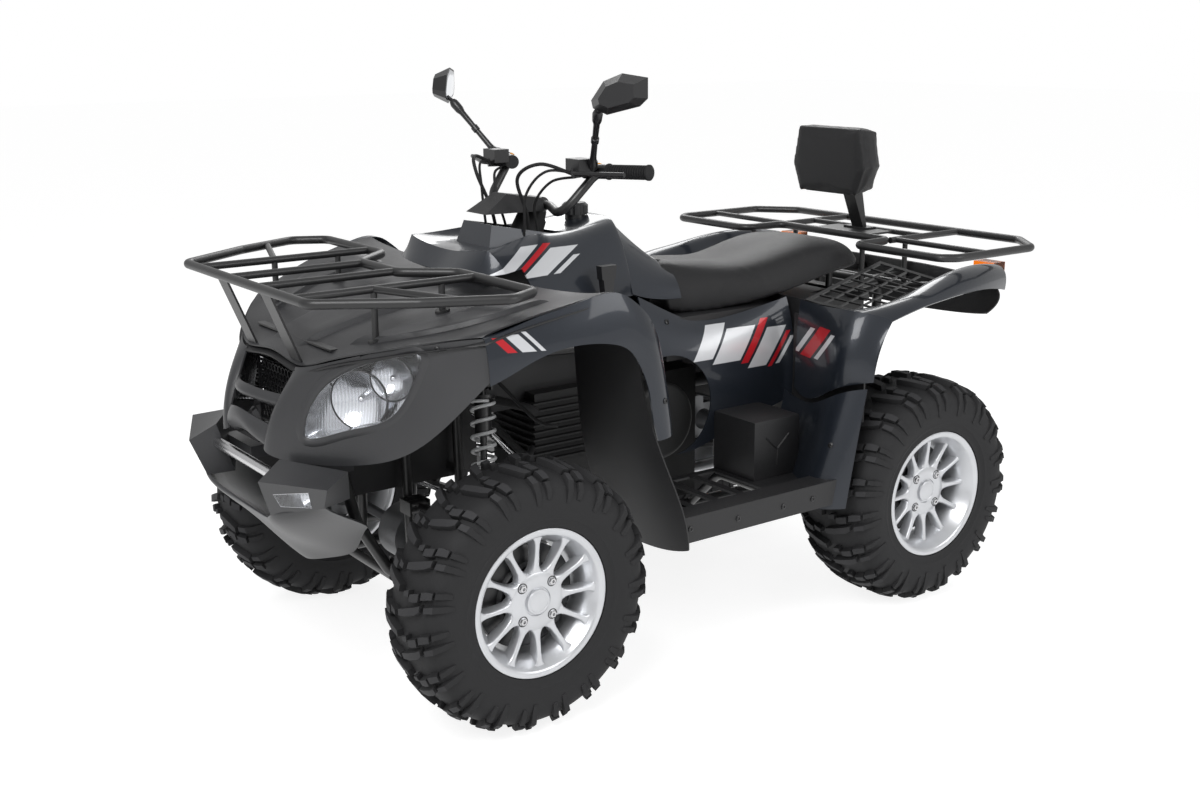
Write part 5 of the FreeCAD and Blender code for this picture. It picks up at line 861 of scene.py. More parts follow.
def make_rim(name, sizes, centre, half, hub, out):
    """The alloy rim: barrel, hub face and spokes."""
    mesh = bmesh.new()
    outside = [(half * a + b, radius) for a, b, radius in RIM_OUTSIDE]
    inside = [(half * a + b, radius) for a, b, radius in RIM_INSIDE]
    section = outside + [(-x, radius) for x, radius in reversed(outside)]
    section += [(-x, radius) for x, radius in reversed(inside)] + inside
    rings = []
    for i in range(sizes.steps):
        angle = FULL_TURN * i / sizes.steps
        around = Vector((0, math.cos(angle), math.sin(angle)))
        rings.append([centre + out * x + around * radius for x, radius in section])
    join_rings(mesh, rings, loop=True)
    turn(mesh, HUB_PROFILE, hub, out, sizes.steps)
    for i in range(sizes.spoke_count):
        angle = FULL_TURN * i / sizes.spoke_count
        radial = Vector((0, math.cos(angle), math.sin(angle)))
        across = radial.cross(out)
        rings = []
        for radius, wide, rise in SPOKE:
            spot = hub + radial * radius + out * rise
            depth = SPOKE_DEPTH + rise
            line = ((-SPOKE_FOOT, -depth), *SPOKE_TOP, (SPOKE_FOOT, -depth))
            rings.append([spot + across * wide * v + out * x for v, x in line])
        join_rings(mesh, rings)
    rim = add_piece(f"rim_{name}_alloy", mesh, f"wheel_{name}", "wheel_silver", 50)
    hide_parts(f"rim_{name}")


WHEELS = [f"{end}_{side}" for end in ENDS for side in SIDES]


# Springs: the upper and lower eye of each left shock absorber, and how far the spring seats stand off them.
SHOCK_EYES = {
    "front": (Vector((0.255, -0.577, 0.735)), Vector((0.325, -0.62, 0.455))),
    "rear": (Vector((0.24, 0.62, 0.72)), Vector((0.33, 0.64, 0.455))),
}
SPRING_SEAT = 0.035
STEPS_A_TURN = 24
END_TURN = 0.7


def make_springs(sizes):
    mesh = bmesh.new()
    for end in ENDS:
        for side in SIDES.values():
            top, low = (mirrored(eye, side) for eye in SHOCK_EYES[end])
            axis = (low - top).normalized()
            start = top + axis * (SPRING_SEAT + sizes.wire / 2)
            reach = (low - top).length - 2 * SPRING_SEAT - sizes.wire
            across, up = square_to(axis)
            radius = sizes.radius - sizes.wire / 2
            steps = sizes.turns * STEPS_A_TURN
            path = []
            for i in range(steps + 1):
                turns = i / STEPS_A_TURN
                # The end turns lie flat on their seats.
                rise = min(max(turns - END_TURN, 0) / (sizes.turns - 2 * END_TURN), 1)
                angle = FULL_TURN * turns
                arm = across * math.cos(angle) + up * math.sin(angle)
                path.append(start + axis * reach * rise + arm * radius)
            follow(mesh, path, sizes.wire / 2, 10)
    piece = add_piece("coils", mesh, "chassis", "spring_paint", 60)
    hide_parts("springs")


# Lamps.

# How far each lamp looks away from straight ahead, and where the left headlamp's lower inner corner is.
HEADLAMP_HEADING = math.radians(39.3)
HEADLAMP_CORNER = Vector((0.203, -1.008, 0.675))
HEADLAMP_SIZE = (0.284, 0.192)
FOG_HEADING = math.radians(23.3)
# Bowls of the headlamp: place along and up the lamp, radius over the rim, and how far back the rim stands.
BOWLS = ((0.43, 0.40, 0.064, 0.020), (0.705, 0.665, 0.047, 0.018))
BOWL_DEPTH = 0.026
# Share of a bowl's radius that its flat middle takes.
BOWL_MIDDLE = 0.12
BOWL_ROWS = 8
BOWL_STEPS = 40
BOWL_RING = ((-0.004, 0.0018), (-0.004, 0.0045), (0.0005, 0.004), (0.001, 0.0025), (0.0005, 0.0018))
BULB_PROFILE = ((0, 0.008), (0.012, 0.008), (0.018, 0.006), (0.02, 0.002))
# The bowl of a fog lamp: place along and out from the middle of its lens, radius and depth.
FOG_BOWL = (0.012, -0.01, 0.021, 0.014)
# How squarely a face of a lamp has to look outward to belong to its lens.
FACING = 0.55
LAMP_WALL = 0.0015
LIP_STEPS = 96
# Section of the lip round a headlamp: distance outside the lens's edge, and proud of it.
LAMP_LIP = ((-0.001, -0.01), (-0.001, 0.003), (0.003, 0.006), (0.009, 0.0065), (0.019, 0.002), (0.021, -0.01))


def lamp_axes(heading, side):
    """The level way along a face that looks out at a heading, and the way out of it."""
    along = Vector((math.cos(heading) * side, math.sin(heading), 0))
    out = Vector((math.sin(heading) * side, -math.cos(heading), 0))
    return along, out


def split_lamp(node, side, out, facing=FACING):
    """The lamp's outer skin and the rest of it, as two lists of triangles, from one side of a CAD node."""
    data = NODES[node].data
    skin, rest = [], []
    for face in data.polygons:
        points = [data.vertices[i].co.copy() for i in face.vertices]
        if sum(p.x for p in points) * side < 0:
            continue
        (skin if face.normal.dot(out) > facing else rest).append(points)
    return skin, rest


def shell_of(faces, inward, thickness):
    """A closed sheet of the given thickness from a patch of triangles."""
    mesh = patch(faces)
    border = [edge for edge in mesh.edges if len(edge.link_faces) == 1]
    made = bmesh.ops.duplicate(mesh, geom=mesh.faces[:] + mesh.edges[:] + mesh.verts[:])
    twins = made["vert_map"]
    moved = [item for item in made["geom"] if isinstance(item, bmesh.types.BMVert)]
    for vert in moved:
        vert.co += inward * thickness
    for edge in border:
        a, b = edge.verts
        mesh.faces.new((a, b, twins[b], twins[a]))
    return mesh


def border_of(faces, steps):
    """Evenly spaced points round the longest border of a patch of triangles."""
    mesh = patch(faces)
    left = [edge for edge in mesh.edges if len(edge.link_faces) == 1]
    loops = []
    while left:
        edge = left.pop()
        first, at = edge.verts
        loop = [first.co.copy()]
        while at is not first:
            loop.append(at.co.copy())
            ahead = [e for e in at.link_edges if e in left]
            if not ahead:
                break
            left.remove(ahead[0])
            at = ahead[0].other_vert(at)
        loops.append(loop)
    mesh.free()
    loop = max(loops, key=perimeter)
    spacing = perimeter(loop) / steps
    found, travelled = [], 0.0
    for near, far in zip(loop, loop[1:] + loop[:1]):
        run = (far - near).length
        while len(found) * spacing < travelled + run and len(found) < steps:
            found.append(near.lerp(far, (len(found) * spacing - travelled) / run))
        travelled += run
    return found


def perimeter(loop):
    return sum((a - b).length for a, b in zip(loop, loop[1:] + loop[:1]))


def lip(mesh, loop, out, profile):
    """A moulded lip round a loop: profile of (away from the middle, proud of the loop), in metres."""
    middle = sum(loop, Vector()) / len(loop)
    rings = []
    for i, point in enumerate(loop):
        ahead = loop[(i + 1) % len(loop)] - loop[i - 1]
        away = ahead.cross(out).normalized()
        away = away if away.dot(point - middle) > 0 else -away
        rings.append([point + away * wide + out * proud for wide, proud in profile])
    join_rings(mesh, rings, loop=True)


def bowl(mesh, centre, out, radius, depth):
    """A dish of revolution that opens along out, with a wall."""
    inner, outer = [], []
    for i in range(BOWL_ROWS + 1):
        t = BOWL_MIDDLE + (1 - BOWL_MIDDLE) * i / BOWL_ROWS
        inner.append((-depth * (1 - t * t), radius * t))
        outer.append((-depth * (1 - t * t) - LAMP_WALL, radius * t + LAMP_WALL))
    turn(mesh, [*outer, *reversed(inner)], centre, out, BOWL_STEPS)


def thick(mesh, wall):
    """The patch of faces as a closed sheet with a wall on its inner side."""
    bmesh.ops.recalc_face_normals(mesh, faces=mesh.faces)
    mesh.normal_update()
    bmesh.ops.solidify(mesh, geom=mesh.faces[:], thickness=wall)
    return mesh


def make_headlamps(sizes):
    for name, side in SIDES.items():
        along, out = lamp_axes(HEADLAMP_HEADING, side)
        skin, rest = split_lamp("headlights", side, out)
        glass = shell_of(skin, -out, sizes.lens_wall)
        lens = add_piece(f"headlamp_lens_{name}", glass, "chassis", "lens", 60)
        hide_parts("headlights")

        mesh = bmesh.new()
        lip(mesh, border_of(skin, LIP_STEPS), out, LAMP_LIP)
        add_piece(f"headlamp_surround_{name}", mesh, "chassis", "satin_plastic", 50)
        housing = thick(patch(rest), LAMP_WALL)
        add_piece(f"headlamp_housing_{name}", housing, "chassis", "lamp_inside", 30)
        corner = mirrored(HEADLAMP_CORNER, side)
        make_headlamp_bowls(name, corner, along, out, [p for points in skin for p in points])


def make_headlamp_bowls(name, corner, along, out, skin):
    """The bowls of a headlamp with their rings and bulbs, set back from the nearest point of the lens."""
    bowls, rings, bulbs = bmesh.new(), bmesh.new(), bmesh.new()
    for a, b, radius, back in BOWLS:
        centre = corner + along * HEADLAMP_SIZE[0] * a + Vector((0, 0, HEADLAMP_SIZE[1] * b))
        gaps = [p - centre for p in skin]
        nearest = min(gaps, key=lambda gap: (gap - out * gap.dot(out)).length)
        centre += out * (nearest.dot(out) - back)
        bowl(bowls, centre, out, radius, BOWL_DEPTH)
        turn(rings, [(ahead, radius + wide) for ahead, wide in BOWL_RING], centre, out, 48, True)
        turn(bulbs, BULB_PROFILE, centre - out * BOWL_DEPTH, out, 24)
    add_piece(f"headlamp_rings_{name}", rings, "chassis", "smooth_black", 60)
    add_piece(f"headlamp_bowls_{name}", bowls, "chassis", "reflector", 60)
    add_piece(f"headlamp_bulbs_{name}", bulbs, "chassis", "bright_steel", 60)


def make_fog_lamps(sizes):
    place_along, place_out, radius, depth = FOG_BOWL
    for name, side in SIDES.items():
        along, out = lamp_axes(FOG_HEADING, side)
        skin, rest = split_lamp("fog_lamps", side, out)
        glass = shell_of(skin, -out, sizes.lens_wall)
        lens = add_piece(f"fog_lens_{name}", glass, "chassis", "lens", 60)
        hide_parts("fog_lamps")
        housing = thick(patch(rest), LAMP_WALL)
        add_piece(f"fog_housing_{name}", housing, "chassis", "reflector", 30)
        points = [p for face in skin for p in face]
        middle = sum(points, Vector()) / len(points)
        mesh = bmesh.new()
        bowl(mesh, middle + out * place_out + along * place_along, out, radius, depth)
        add_piece(f"fog_bowl_{name}", mesh, "chassis", "reflector", 60)


# Seat and back pad.

CLOTH_PRESSURE = 4
CLOTH_FRAMES = 20
RELAX_FACTOR = 0.5
RELAX_PASSES = 3
# The finer cell of the back pad, as a share of the seat's.
PAD_CELL_SHARE = 0.8


def make_cushion(name, node, cell, shrink, swell):
    piece = bpy.data.objects.new(name, NODES[node].data.copy())
    bpy.context.scene.collection.objects.link(piece)
    mesh = copy_of(node)
    mesh.normal_update()
    for vert in mesh.verts:
        vert.co -= vert.normal * shrink
    mesh.to_mesh(piece.data)
    mesh.free()
    remesh = piece.modifiers.new("Remesh", "REMESH")
    remesh.mode = "VOXEL"
    remesh.voxel_size = cell
    apply_modifier(piece, remesh)
    blow_up(piece, swell)
    relax = piece.modifiers.new("Smooth", "SMOOTH")
    relax.factor = RELAX_FACTOR
    relax.iterations = RELAX_PASSES
    apply_modifier(piece, relax)
    finer = piece.modifiers.new("Subdivision", "SUBSURF")
    finer.levels = finer.render_levels = 1
    apply_modifier(piece, finer)
    piece.data.polygons.foreach_set("use_smooth", [True] * len(piece.data.polygons))
    piece.data.materials.clear()
    piece.data.materials.append(finish_of("seat_vinyl"))
    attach(piece, "chassis")
    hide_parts(node)


def apply_modifier(piece, modifier):
    """Puts the modifier's result in the piece's own mesh."""
    graph = bpy.context.evaluated_depsgraph_get()
    data = bpy.data.meshes.new_from_object(piece.evaluated_get(graph))
    piece.modifiers.remove(modifier)
    old = piece.data
    piece.data = data
    bpy.data.meshes.remove(old)


def blow_up(piece, swell):
    """Cloth under a light pressure for a few frames, each point held within its reach."""
    rest = [vert.co.copy() for vert in piece.data.vertices]
    cloth = piece.modifiers.new("Cloth", "CLOTH")
    settings = cloth.settings
    settings.use_pressure = True
    settings.uniform_pressure_force = CLOTH_PRESSURE
    settings.effector_weights.gravity = 0
    scene = bpy.context.scene
    for frame_number in range(1, CLOTH_FRAMES + 1):
        scene.frame_set(frame_number)
    graph = bpy.context.evaluated_depsgraph_get()
    moved = [vert.co.copy() for vert in piece.evaluated_get(graph).data.vertices]
    piece.modifiers.remove(cloth)
    scene.frame_set(1)
    for vert, start, stop in zip(piece.data.vertices, rest, moved):
        step = stop - start
        if step.length > swell:
            step = step.normalized() * swell
        vert.co = start + step


def make_seat(sizes):
    make_cushion("saddle", "seat", sizes.cell, sizes.shrink, sizes.swell)


def make_back_pad(sizes):
    cell = sizes.cell * PAD_CELL_SHARE
    make_cushion("back_pad", "backrest_pad", cell, sizes.shrink, sizes.pad_swell)


# Bar fittings.

# The left end of the bar and its last bend.
BAR_END = Vector((0.34, -0.148, 1.204))
BAR_KNEE = Vector((0.2, -0.2, 1.2))
GRIP_LENGTH = 0.118
SWITCH_LENGTH = 0.044
# A grip from its root: bore, flange, ribs and tail. Radii are shares of the radius over the ribs. Distances
# are in metres, but shares of the spacing for a rib.
GRIP_BORE = 0.7
GRIP_FLANGE = ((0.0, 1.14), (0.004, 1.14), (0.0055, 0.9))
GRIP_RIB = ((0.0, 0.88), (0.18, 0.88), (0.3, 1.0), (0.82, 1.0), (0.94, 0.88))
GRIP_TAIL = ((0.0, 0.9), (0.002, 1.1), (0.0075, 1.1), (0.01, 0.95), (0.0115, 0.5))
RIBS_FROM = 0.006
RIBLESS = 0.014
# Buttons on the switch housing: finish, place as a share of the housing, and radius.
BUTTONS = (("button_yellow", -0.35, 0.0062), ("button_red", 0.45, 0.0048))
BUTTON_PROFILE = ((0.0, 1.0), (0.0034, 1.0), (0.0045, 0.8), (0.0046, 0.3))
BUTTON_SPREAD = 0.6
BUTTON_LEAN = 0.9
BUTTON_OUT = 0.0165


def bar_line(side):
    """End of the bar on one side, the way it points, and the level way ahead of it."""
    end = mirrored(BAR_END, side)
    along = (end - mirrored(BAR_KNEE, side)).normalized()
    ahead = Vector((along.y, -along.x, 0)).normalized() * side
    return end, along, ahead


def make_grips(sizes):
    """Ribbed grips, and the buttons on the switch housings beside them."""
    radius = sizes.grip_radius
    pitch = (GRIP_LENGTH - RIBLESS) / sizes.rib_count
    tail = RIBS_FROM + pitch * sizes.rib_count
    profile = [(0.0, radius * GRIP_BORE)] + [(a, radius * b) for a, b in GRIP_FLANGE]
    for i in range(sizes.rib_count):
        profile += [(RIBS_FROM + pitch * (i + a), radius * b) for a, b in GRIP_RIB]
    profile += [(tail + a, radius * b) for a, b in GRIP_TAIL]
    mesh = bmesh.new()
    buttons = {name: bmesh.new() for name, _, _ in BUTTONS}
    for side in SIDES.values():
        end, along, ahead = bar_line(side)
        root = end - along * GRIP_LENGTH
        turn(mesh, profile, root, along, 36)
        switch = root - along * (SWITCH_LENGTH / 2)
        up = along.cross(ahead) * side
        up = up if up.z > 0 else -up
        for name, place, size in BUTTONS:
            facing = (up - ahead * (BUTTON_LEAN + place)).normalized()
            foot = switch + along * SWITCH_LENGTH * place * BUTTON_SPREAD + facing * BUTTON_OUT
            turn(buttons[name], [(a, size * b) for a, b in BUTTON_PROFILE], foot, facing, 24)
    piece = add_piece("bar_grips", mesh, "steering", "grip_rubber", 40)
    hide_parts("grips")
    for name, made in buttons.items():
        add_piece(f"{name}s", made, "steering", name)


# Control runs on the left side, from the lever's perch to the column: kind, and points in metres.
RUNS = (
    (
        "hose",
        (
            (0.182, -0.262, 1.196),
            (0.15, -0.335, 1.222),
            (0.095, -0.365, 1.185),
            (0.083, -0.33, 1.09),
            (0.07, -0.315, 0.985),
        ),
    ),
    (
        "cable",
        (
            (0.17, -0.245, 1.187),
            (0.13, -0.29, 1.175),
            (0.087, -0.31, 1.12),
            (0.074, -0.295, 1.05),
            (0.06, -0.29, 0.985),
        ),
    ),
    (
        "cable",
        (
            (0.2, -0.235, 1.19),
            (0.155, -0.315, 1.205),
            (0.105, -0.345, 1.15),
            (0.092, -0.345, 1.07),
            (0.078, -0.34, 0.985),
        ),
    ),
)
RUN_STEPS = 10


def make_runs(sizes):
    """Hose and cables that are held at the perch and go down into the cover beside the column."""
    for name, side in SIDES.items():
        for i, (kind, points) in enumerate(RUNS):
            path = smooth_through([mirrored(p, side) for p in points], RUN_STEPS)
            mesh = bmesh.new()
            follow(mesh, path, getattr(sizes, f"{kind}_radius"), 10)
            piece = add_piece(f"control_{kind}_{name}_{i}", mesh, None, "grip_rubber", 80)
            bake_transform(piece)


# Loops of the rim and of the window on the instrument housing: share of its outline, and lift off it.
POD_BEZEL = ((0.82, -0.001), (0.82, 0.002), (0.78, 0.003), (0.7, 0.003), (0.68, 0.0012), (0.6, 0.0012))
POD_SCREEN = ((0.67, 0.001), (0.67, 0.002), (0.65, 0.0024))
# The housing's top face lies within this of its highest point, and a corner within this of an end.
POD_TOP = 0.016
POD_END = 0.004


def make_pod_face():
    """A dark window with a rim on the sloping top of the instrument housing."""
    _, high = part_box("instrument_pod")
    top = [v.co for v in NODES["instrument_pod"].data.vertices if v.co.z > high.z - POD_TOP]
    corners = []
    for end in (max(v.y for v in top), min(v.y for v in top)):
        line = [v for v in top if abs(v.y - end) < POD_END]
        corners.append(Vector((max(v.x for v in line), end, max(v.z for v in line))))
    corners += [mirrored(p, -1) for p in reversed(corners)]
    normal = (corners[1] - corners[0]).cross(corners[2] - corners[0]).normalized()
    normal = normal if normal.z > 0 else -normal
    mesh = bmesh.new()
    join_rings(mesh, nested(corners, normal, POD_BEZEL))
    add_piece("pod_bezel", mesh, "steering", "smooth_black", 20)
    mesh = bmesh.new()
    join_rings(mesh, nested(corners, normal, POD_SCREEN))
    add_piece("pod_screen", mesh, "steering", "screen", 20)


# The boot round the column: where it starts, the way it goes, and its profile.
BOOT_FOOT = Vector((0, -0.306, 0.985))
COLUMN_WAY = Vector((0, 0.437668, 0.899137))
BOOT = (
    (0.0, 0.046),
    (0.004, 0.05),
    (0.05, 0.047),
    (0.054, 0.042),
    (0.1, 0.038),
    (0.104, 0.034),
    (0.125, 0.03),
)


def make_column_boot():
    """A stepped rubber boot round the column, between the tank cover and the instrument housing."""
    mesh = bmesh.new()
    turn(mesh, BOOT, BOOT_FOOT, COLUMN_WAY, 40)
    add_piece("column_boot", mesh, "steering", "grip_rubber", 40)


# Where the left mirror's arm starts on the bar, and where it meets the housing.
MIRROR_FOOT = Vector((0.212, -0.225, 1.212))
MIRROR_KNEE = Vector((0.329, -0.292, 1.353))
# An arm of a mirror: share of the way along, and radius. It swells into a joint at each end.
MIRROR_ARM = (
    (0.0, 0.008),
    (0.0, 0.0125),
    (0.1, 0.0125),
    (0.14, 0.009),
    (0.2, 0.0078),
    (0.45, 0.0072),
    (0.46, 0.0098),
    (0.53, 0.0098),
    (0.54, 0.0072),
    (0.78, 0.008),
    (0.84, 0.0115),
    (0.95, 0.0125),
    (1.0, 0.009),
)
# How far the mirrors look away from straight ahead, and how squarely a face has to look back to be glass.
MIRROR_HEADING = math.radians(41.0)
MIRROR_STEPS = 64
MIRROR_FACING = 0.93
# Loops of the glass: share of the mirror's face, and lift off it.
MIRROR_GLASS = ((0.88, -0.001), (0.88, 0.0008), (0.86, 0.0012))


def make_mirror_arms():
    for name, side in SIDES.items():
        foot, knee = mirrored(MIRROR_FOOT, side), mirrored(MIRROR_KNEE, side)
        mesh = bmesh.new()
        reach = (knee - foot).length
        turn(mesh, [(a * reach, b) for a, b in MIRROR_ARM], foot, knee - foot, 20)
        add_piece(f"mirror_arm_{name}", mesh, "steering", "smooth_black", 40)


def make_mirror_glass():
    """A glass on the rear face of each mirror."""
    for name, side in SIDES.items():
        _, out = lamp_axes(MIRROR_HEADING, side)
        skin, _ = split_lamp("mirrors", side, -out, MIRROR_FACING)
        mesh = bmesh.new()
        join_rings(mesh, nested(border_of(skin, MIRROR_STEPS), -out, MIRROR_GLASS))
        add_piece(f"mirror_glass_{name}", mesh, "steering", "mirror_glass", 20)


# Hood liner of painted shade, cooler and hood panels.

# The liner, a dark sheet of painted shade under the hood and in its seams, is the hood's own shape, lowered
# and grown across and along.
LINER_DROP = 0.014
LINER_GROWTH = (1.035, 1.03)
# Two opposite corners of the cooler's fins, and the depth of the tank behind them.
COOLER = ((-0.2, -0.93, 0.6), (0.2, -0.87, 0.86))
COOLER_FINS = 26
COOLER_FIN_SHARE = 0.45
COOLER_BACK = 0.01


def make_shade_liner():
    """A black liner under the hood, a sheet of painted shade that also closes the seams, and the cooler
    behind the nose.
    """
    low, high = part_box("hood")
    middle = (low + high) / 2
    mesh = copy_of("hood")
    for vert in mesh.verts:
        vert.co.x *= LINER_GROWTH[0]
        vert.co.y = middle.y + (vert.co.y - middle.y) * LINER_GROWTH[1]
        vert.co.z -= LINER_DROP
    add_piece("hood_shade_liner", mesh, "chassis", "grained_plastic", 40)

    low, high = (Vector(p) for p in COOLER)
    step = (high.z - low.z) / COOLER_FINS
    mesh = bmesh.new()
    for i in range(COOLER_FINS):
        foot = low.z + i * step
        brick(mesh, Vector((low.x, low.y, foot)), Vector((high.x, high.y, foot + step * COOLER_FIN_SHARE)))
    brick(mesh, Vector((low.x, high.y, low.z)), Vector((high.x, high.y + COOLER_BACK, high.z)))
    add_piece("cooler", mesh, "chassis", "damper_black", 30)


# Raised panels of the hood: inner and outer line from front to rear as (distance from the middle, along),
# height, and whether the panel has a twin on the right.
HOOD_PANELS = (
    (
        ((-0.085, -0.958), (-0.12, -0.78), (-0.165, -0.62), (-0.175, -0.45)),
        ((0.085, -0.958), (0.12, -0.78), (0.165, -0.62), (0.175, -0.45)),
        0.013,
        False,
    ),
    (
        ((0.2, -0.9), (0.26, -0.8), (0.31, -0.68), (0.33, -0.5)),
        ((0.275, -0.86), (0.37, -0.77), (0.44, -0.66), (0.46, -0.5)),
        0.011,
        True,
    ),
)
# Rise of a raised panel up to its middle: share of the way across, and share of its height.
PANEL_SECTION = ((0.0, -0.5), (0.03, -0.2), (0.1, 0.85), (0.14, 1.0), (0.32, 0.94), (0.5, 0.9))
PANEL_STEPS = 13
# A panel rises from under the skin over this share of its length at each end.
PANEL_ENDS = 0.12
PANEL_START = -0.5
PANEL_WALL = 0.004
RAY_HEIGHT = 1.3


def lifted(target, a, b, rises):
    """Points on a skin below the line from a to b, each lifted by its rise; none if one misses the skin."""
    found = []
    for across, rise in rises:
        x, y = a[0] + (b[0] - a[0]) * across, a[1] + (b[1] - a[1]) * across
        hit, spot, _, _ = target.ray_cast(Vector((x, y, RAY_HEIGHT)), Vector((0, 0, -1)))
        if not hit:
            return []
        found.append(spot + Vector((0, 0, rise)))
    return found


def make_hood_panels():
    """Raised panels with sharp shoulders, pressed out of the hood's own surface."""
    section = list(PANEL_SECTION) + [(1 - a, b) for a, b in reversed(PANEL_SECTION[:-1])]
    mesh = bmesh.new()
    for inner, outer, height, twin in HOOD_PANELS:
        for side in SIDES.values() if twin else (1,):
            lines = [smooth_through([(x * side, y) for x, y in line], PANEL_STEPS) for line in (inner, outer)]
            rings = []
            for row, (a, b) in enumerate(zip(*lines)):
                t = row / (len(lines[0]) - 1)
                fade = min(1.0, t / PANEL_ENDS, (1 - t) / PANEL_ENDS)
                most = fade * (1 - PANEL_START) + PANEL_START
                rises = [(across, min(rise, most) * height) for across, rise in section]
                top = lifted(NODES["hood"], a, b, rises)
                if top:
                    rings.append(top + [p - Vector((0, 0, PANEL_WALL)) for p in reversed(top)])
            join_rings(mesh, rings)
    add_piece("hood_panels", mesh, "chassis", "satin_plastic", 28)


# Dark sheets of painted shade behind the seams, and step covers.

# Black sheets of painted shade behind the seams, where the inside would lie in shade: opposite corners of
# each on the left, in metres, and whether it has a twin.
SHADE_SHEETS = (
    ("seat_shade_sheet", ((-0.185, 0.03, 0.69), (0.185, 0.76, 0.802)), False),
    ("panel_shade_sheet", ((0.08, 0.448, 0.47), (0.30, 0.454, 0.82)), True),
    ("fender_shade_sheet", ((0.27, 0.402, 0.54), (0.535, 0.408, 0.79)), True),
    ("front_shade_sheet", ((0.088, -0.87, 0.47), (0.094, -0.50, 0.86)), True),
    ("arch_shade_sheet", ((0.050, -0.50, 0.60), (0.056, -0.12, 0.86)), True),
    ("tank_shade_sheet", ((-0.12, -0.50, 0.80), (0.12, -0.10, 0.97)), False),
)
SHADE_SHEET_ROUND = 0.002
# The moulded cover of each step block, and the rounding of its edges.
STEP_COVER = ((0.241, 0.145, 0.389), (0.405, 0.305, 0.553))
STEP_ROUND = 0.011
# Raised ribs on the cover's outer face, as (distance along, height) from the middle of its face.
STEP_RIBS = (((0.0, -0.045), (0.0, 0.0)), ((0.0, 0.0), (-0.04, 0.035)), ((0.0, 0.0), (0.04, 0.035)))
STEP_RIB_RADIUS = 0.0028


def make_shade_sheets():
    # Dark sheets of painted shade, so that the seams show shade and not the backdrop.
    for name, corners, twin in SHADE_SHEETS:
        mesh = bmesh.new()
        for side in SIDES.values() if twin else (1,):
            a, b = (mirrored(p, side) for p in corners)
            brick(mesh, Vector(map(min, a, b)), Vector(map(max, a, b)))
        soften(mesh, SHADE_SHEET_ROUND)
        add_piece(name, mesh, "chassis", "grained_plastic", 30)


def make_step_covers():
    for name, side in SIDES.items():
        low, high = (Vector(p) for p in STEP_COVER)
        mesh = bmesh.new()
        brick(mesh, low, high)
        soften(mesh, STEP_ROUND)
        middle = Vector((high.x, (low.y + high.y) / 2, (low.z + high.z) / 2))
        for ends in STEP_RIBS:
            follow(mesh, [middle + Vector((0, y, z)) for y, z in ends], STEP_RIB_RADIUS)
        for vert in mesh.verts:
            vert.co.x *= side
        add_piece(f"step_cover_{name}", mesh, "chassis", "grained_plastic", 40)


# Fins and pipes of the engine.

ENGINE_FINS = 9
FIN_GAP = 0.019
FIN_THICKNESS = 0.005
FIN_ROUND = 0.001
# The fins lie this far below the engine's top and in from its right side, up to a place on the left. They
# stand proud of its front and reach back from there.
FIN_TOP = 0.02
FIN_INSET = 0.01
FIN_LEFT = 0.115
FIN_PROUD = 0.014
FIN_DEPTH = 0.16
# Hoses and pipes inside the front arches: piece, finish, and radius and points of each on the left.
ARCH_PIPES = (
    (
        "arch_pipes_grip",
        "grip_rubber",
        (
            (0.011, ((0.12, -0.34, 0.6), (0.17, -0.42, 0.64), (0.16, -0.56, 0.68), (0.12, -0.72, 0.66))),
            (0.009, ((0.1, -0.34, 0.5), (0.19, -0.42, 0.52), (0.2, -0.5, 0.6), (0.15, -0.62, 0.76))),
            (0.0045, ((0.2, -0.33, 0.58), (0.24, -0.42, 0.62), (0.22, -0.52, 0.73), (0.17, -0.6, 0.8))),
        ),
    ),
    (
        "arch_pipes_bright",
        "bright_steel",
        ((0.006, ((0.14, -0.34, 0.45), (0.2, -0.4, 0.47), (0.2, -0.48, 0.55), (0.13, -0.53, 0.63))),),
    ),
)


def make_engine_dressing():
    """Fins on the engine, and hoses and pipes beside it, where they show through the front arches."""
    low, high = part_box("engine")
    mesh = bmesh.new()
    for i in range(ENGINE_FINS):
        z = high.z - FIN_TOP - i * FIN_GAP
        corner = Vector((low.x + FIN_INSET, low.y - FIN_PROUD, z - FIN_THICKNESS))
        brick(mesh, corner, Vector((FIN_LEFT, low.y + FIN_DEPTH, z)))
    soften(mesh, FIN_ROUND)
    add_piece("engine_fins", mesh, "chassis", "engine_paint", 30)
    for name, finish, pipes in ARCH_PIPES:
        mesh = bmesh.new()
        for radius, points in pipes:
            for side in SIDES.values():
                follow(mesh, smooth_through([mirrored(p, side) for p in points], RUN_STEPS), radius, 12)
        add_piece(name, mesh, "chassis", finish, 60)


# Nose mesh and screws.

COMB_DEPTH = 0.003
COMB_BAR_SHARE = 0.16
# Cells from the corner of the grille to the middle of the first hole, across and up.
COMB_START = (0.75, 0.6)
# Width and depth of the frame round the mesh.
COMB_FRAME = (0.006, 0.005)


def six_sided(centre, radius):
    """An upright ring of six points round a centre."""
    angles = [math.radians(60 * k + 30) for k in range(6)]
    places = [(radius * math.cos(angle), radius * math.sin(angle)) for angle in angles]
    return [Vector((centre.x + x, centre.y, centre.z + z)) for x, z in places]


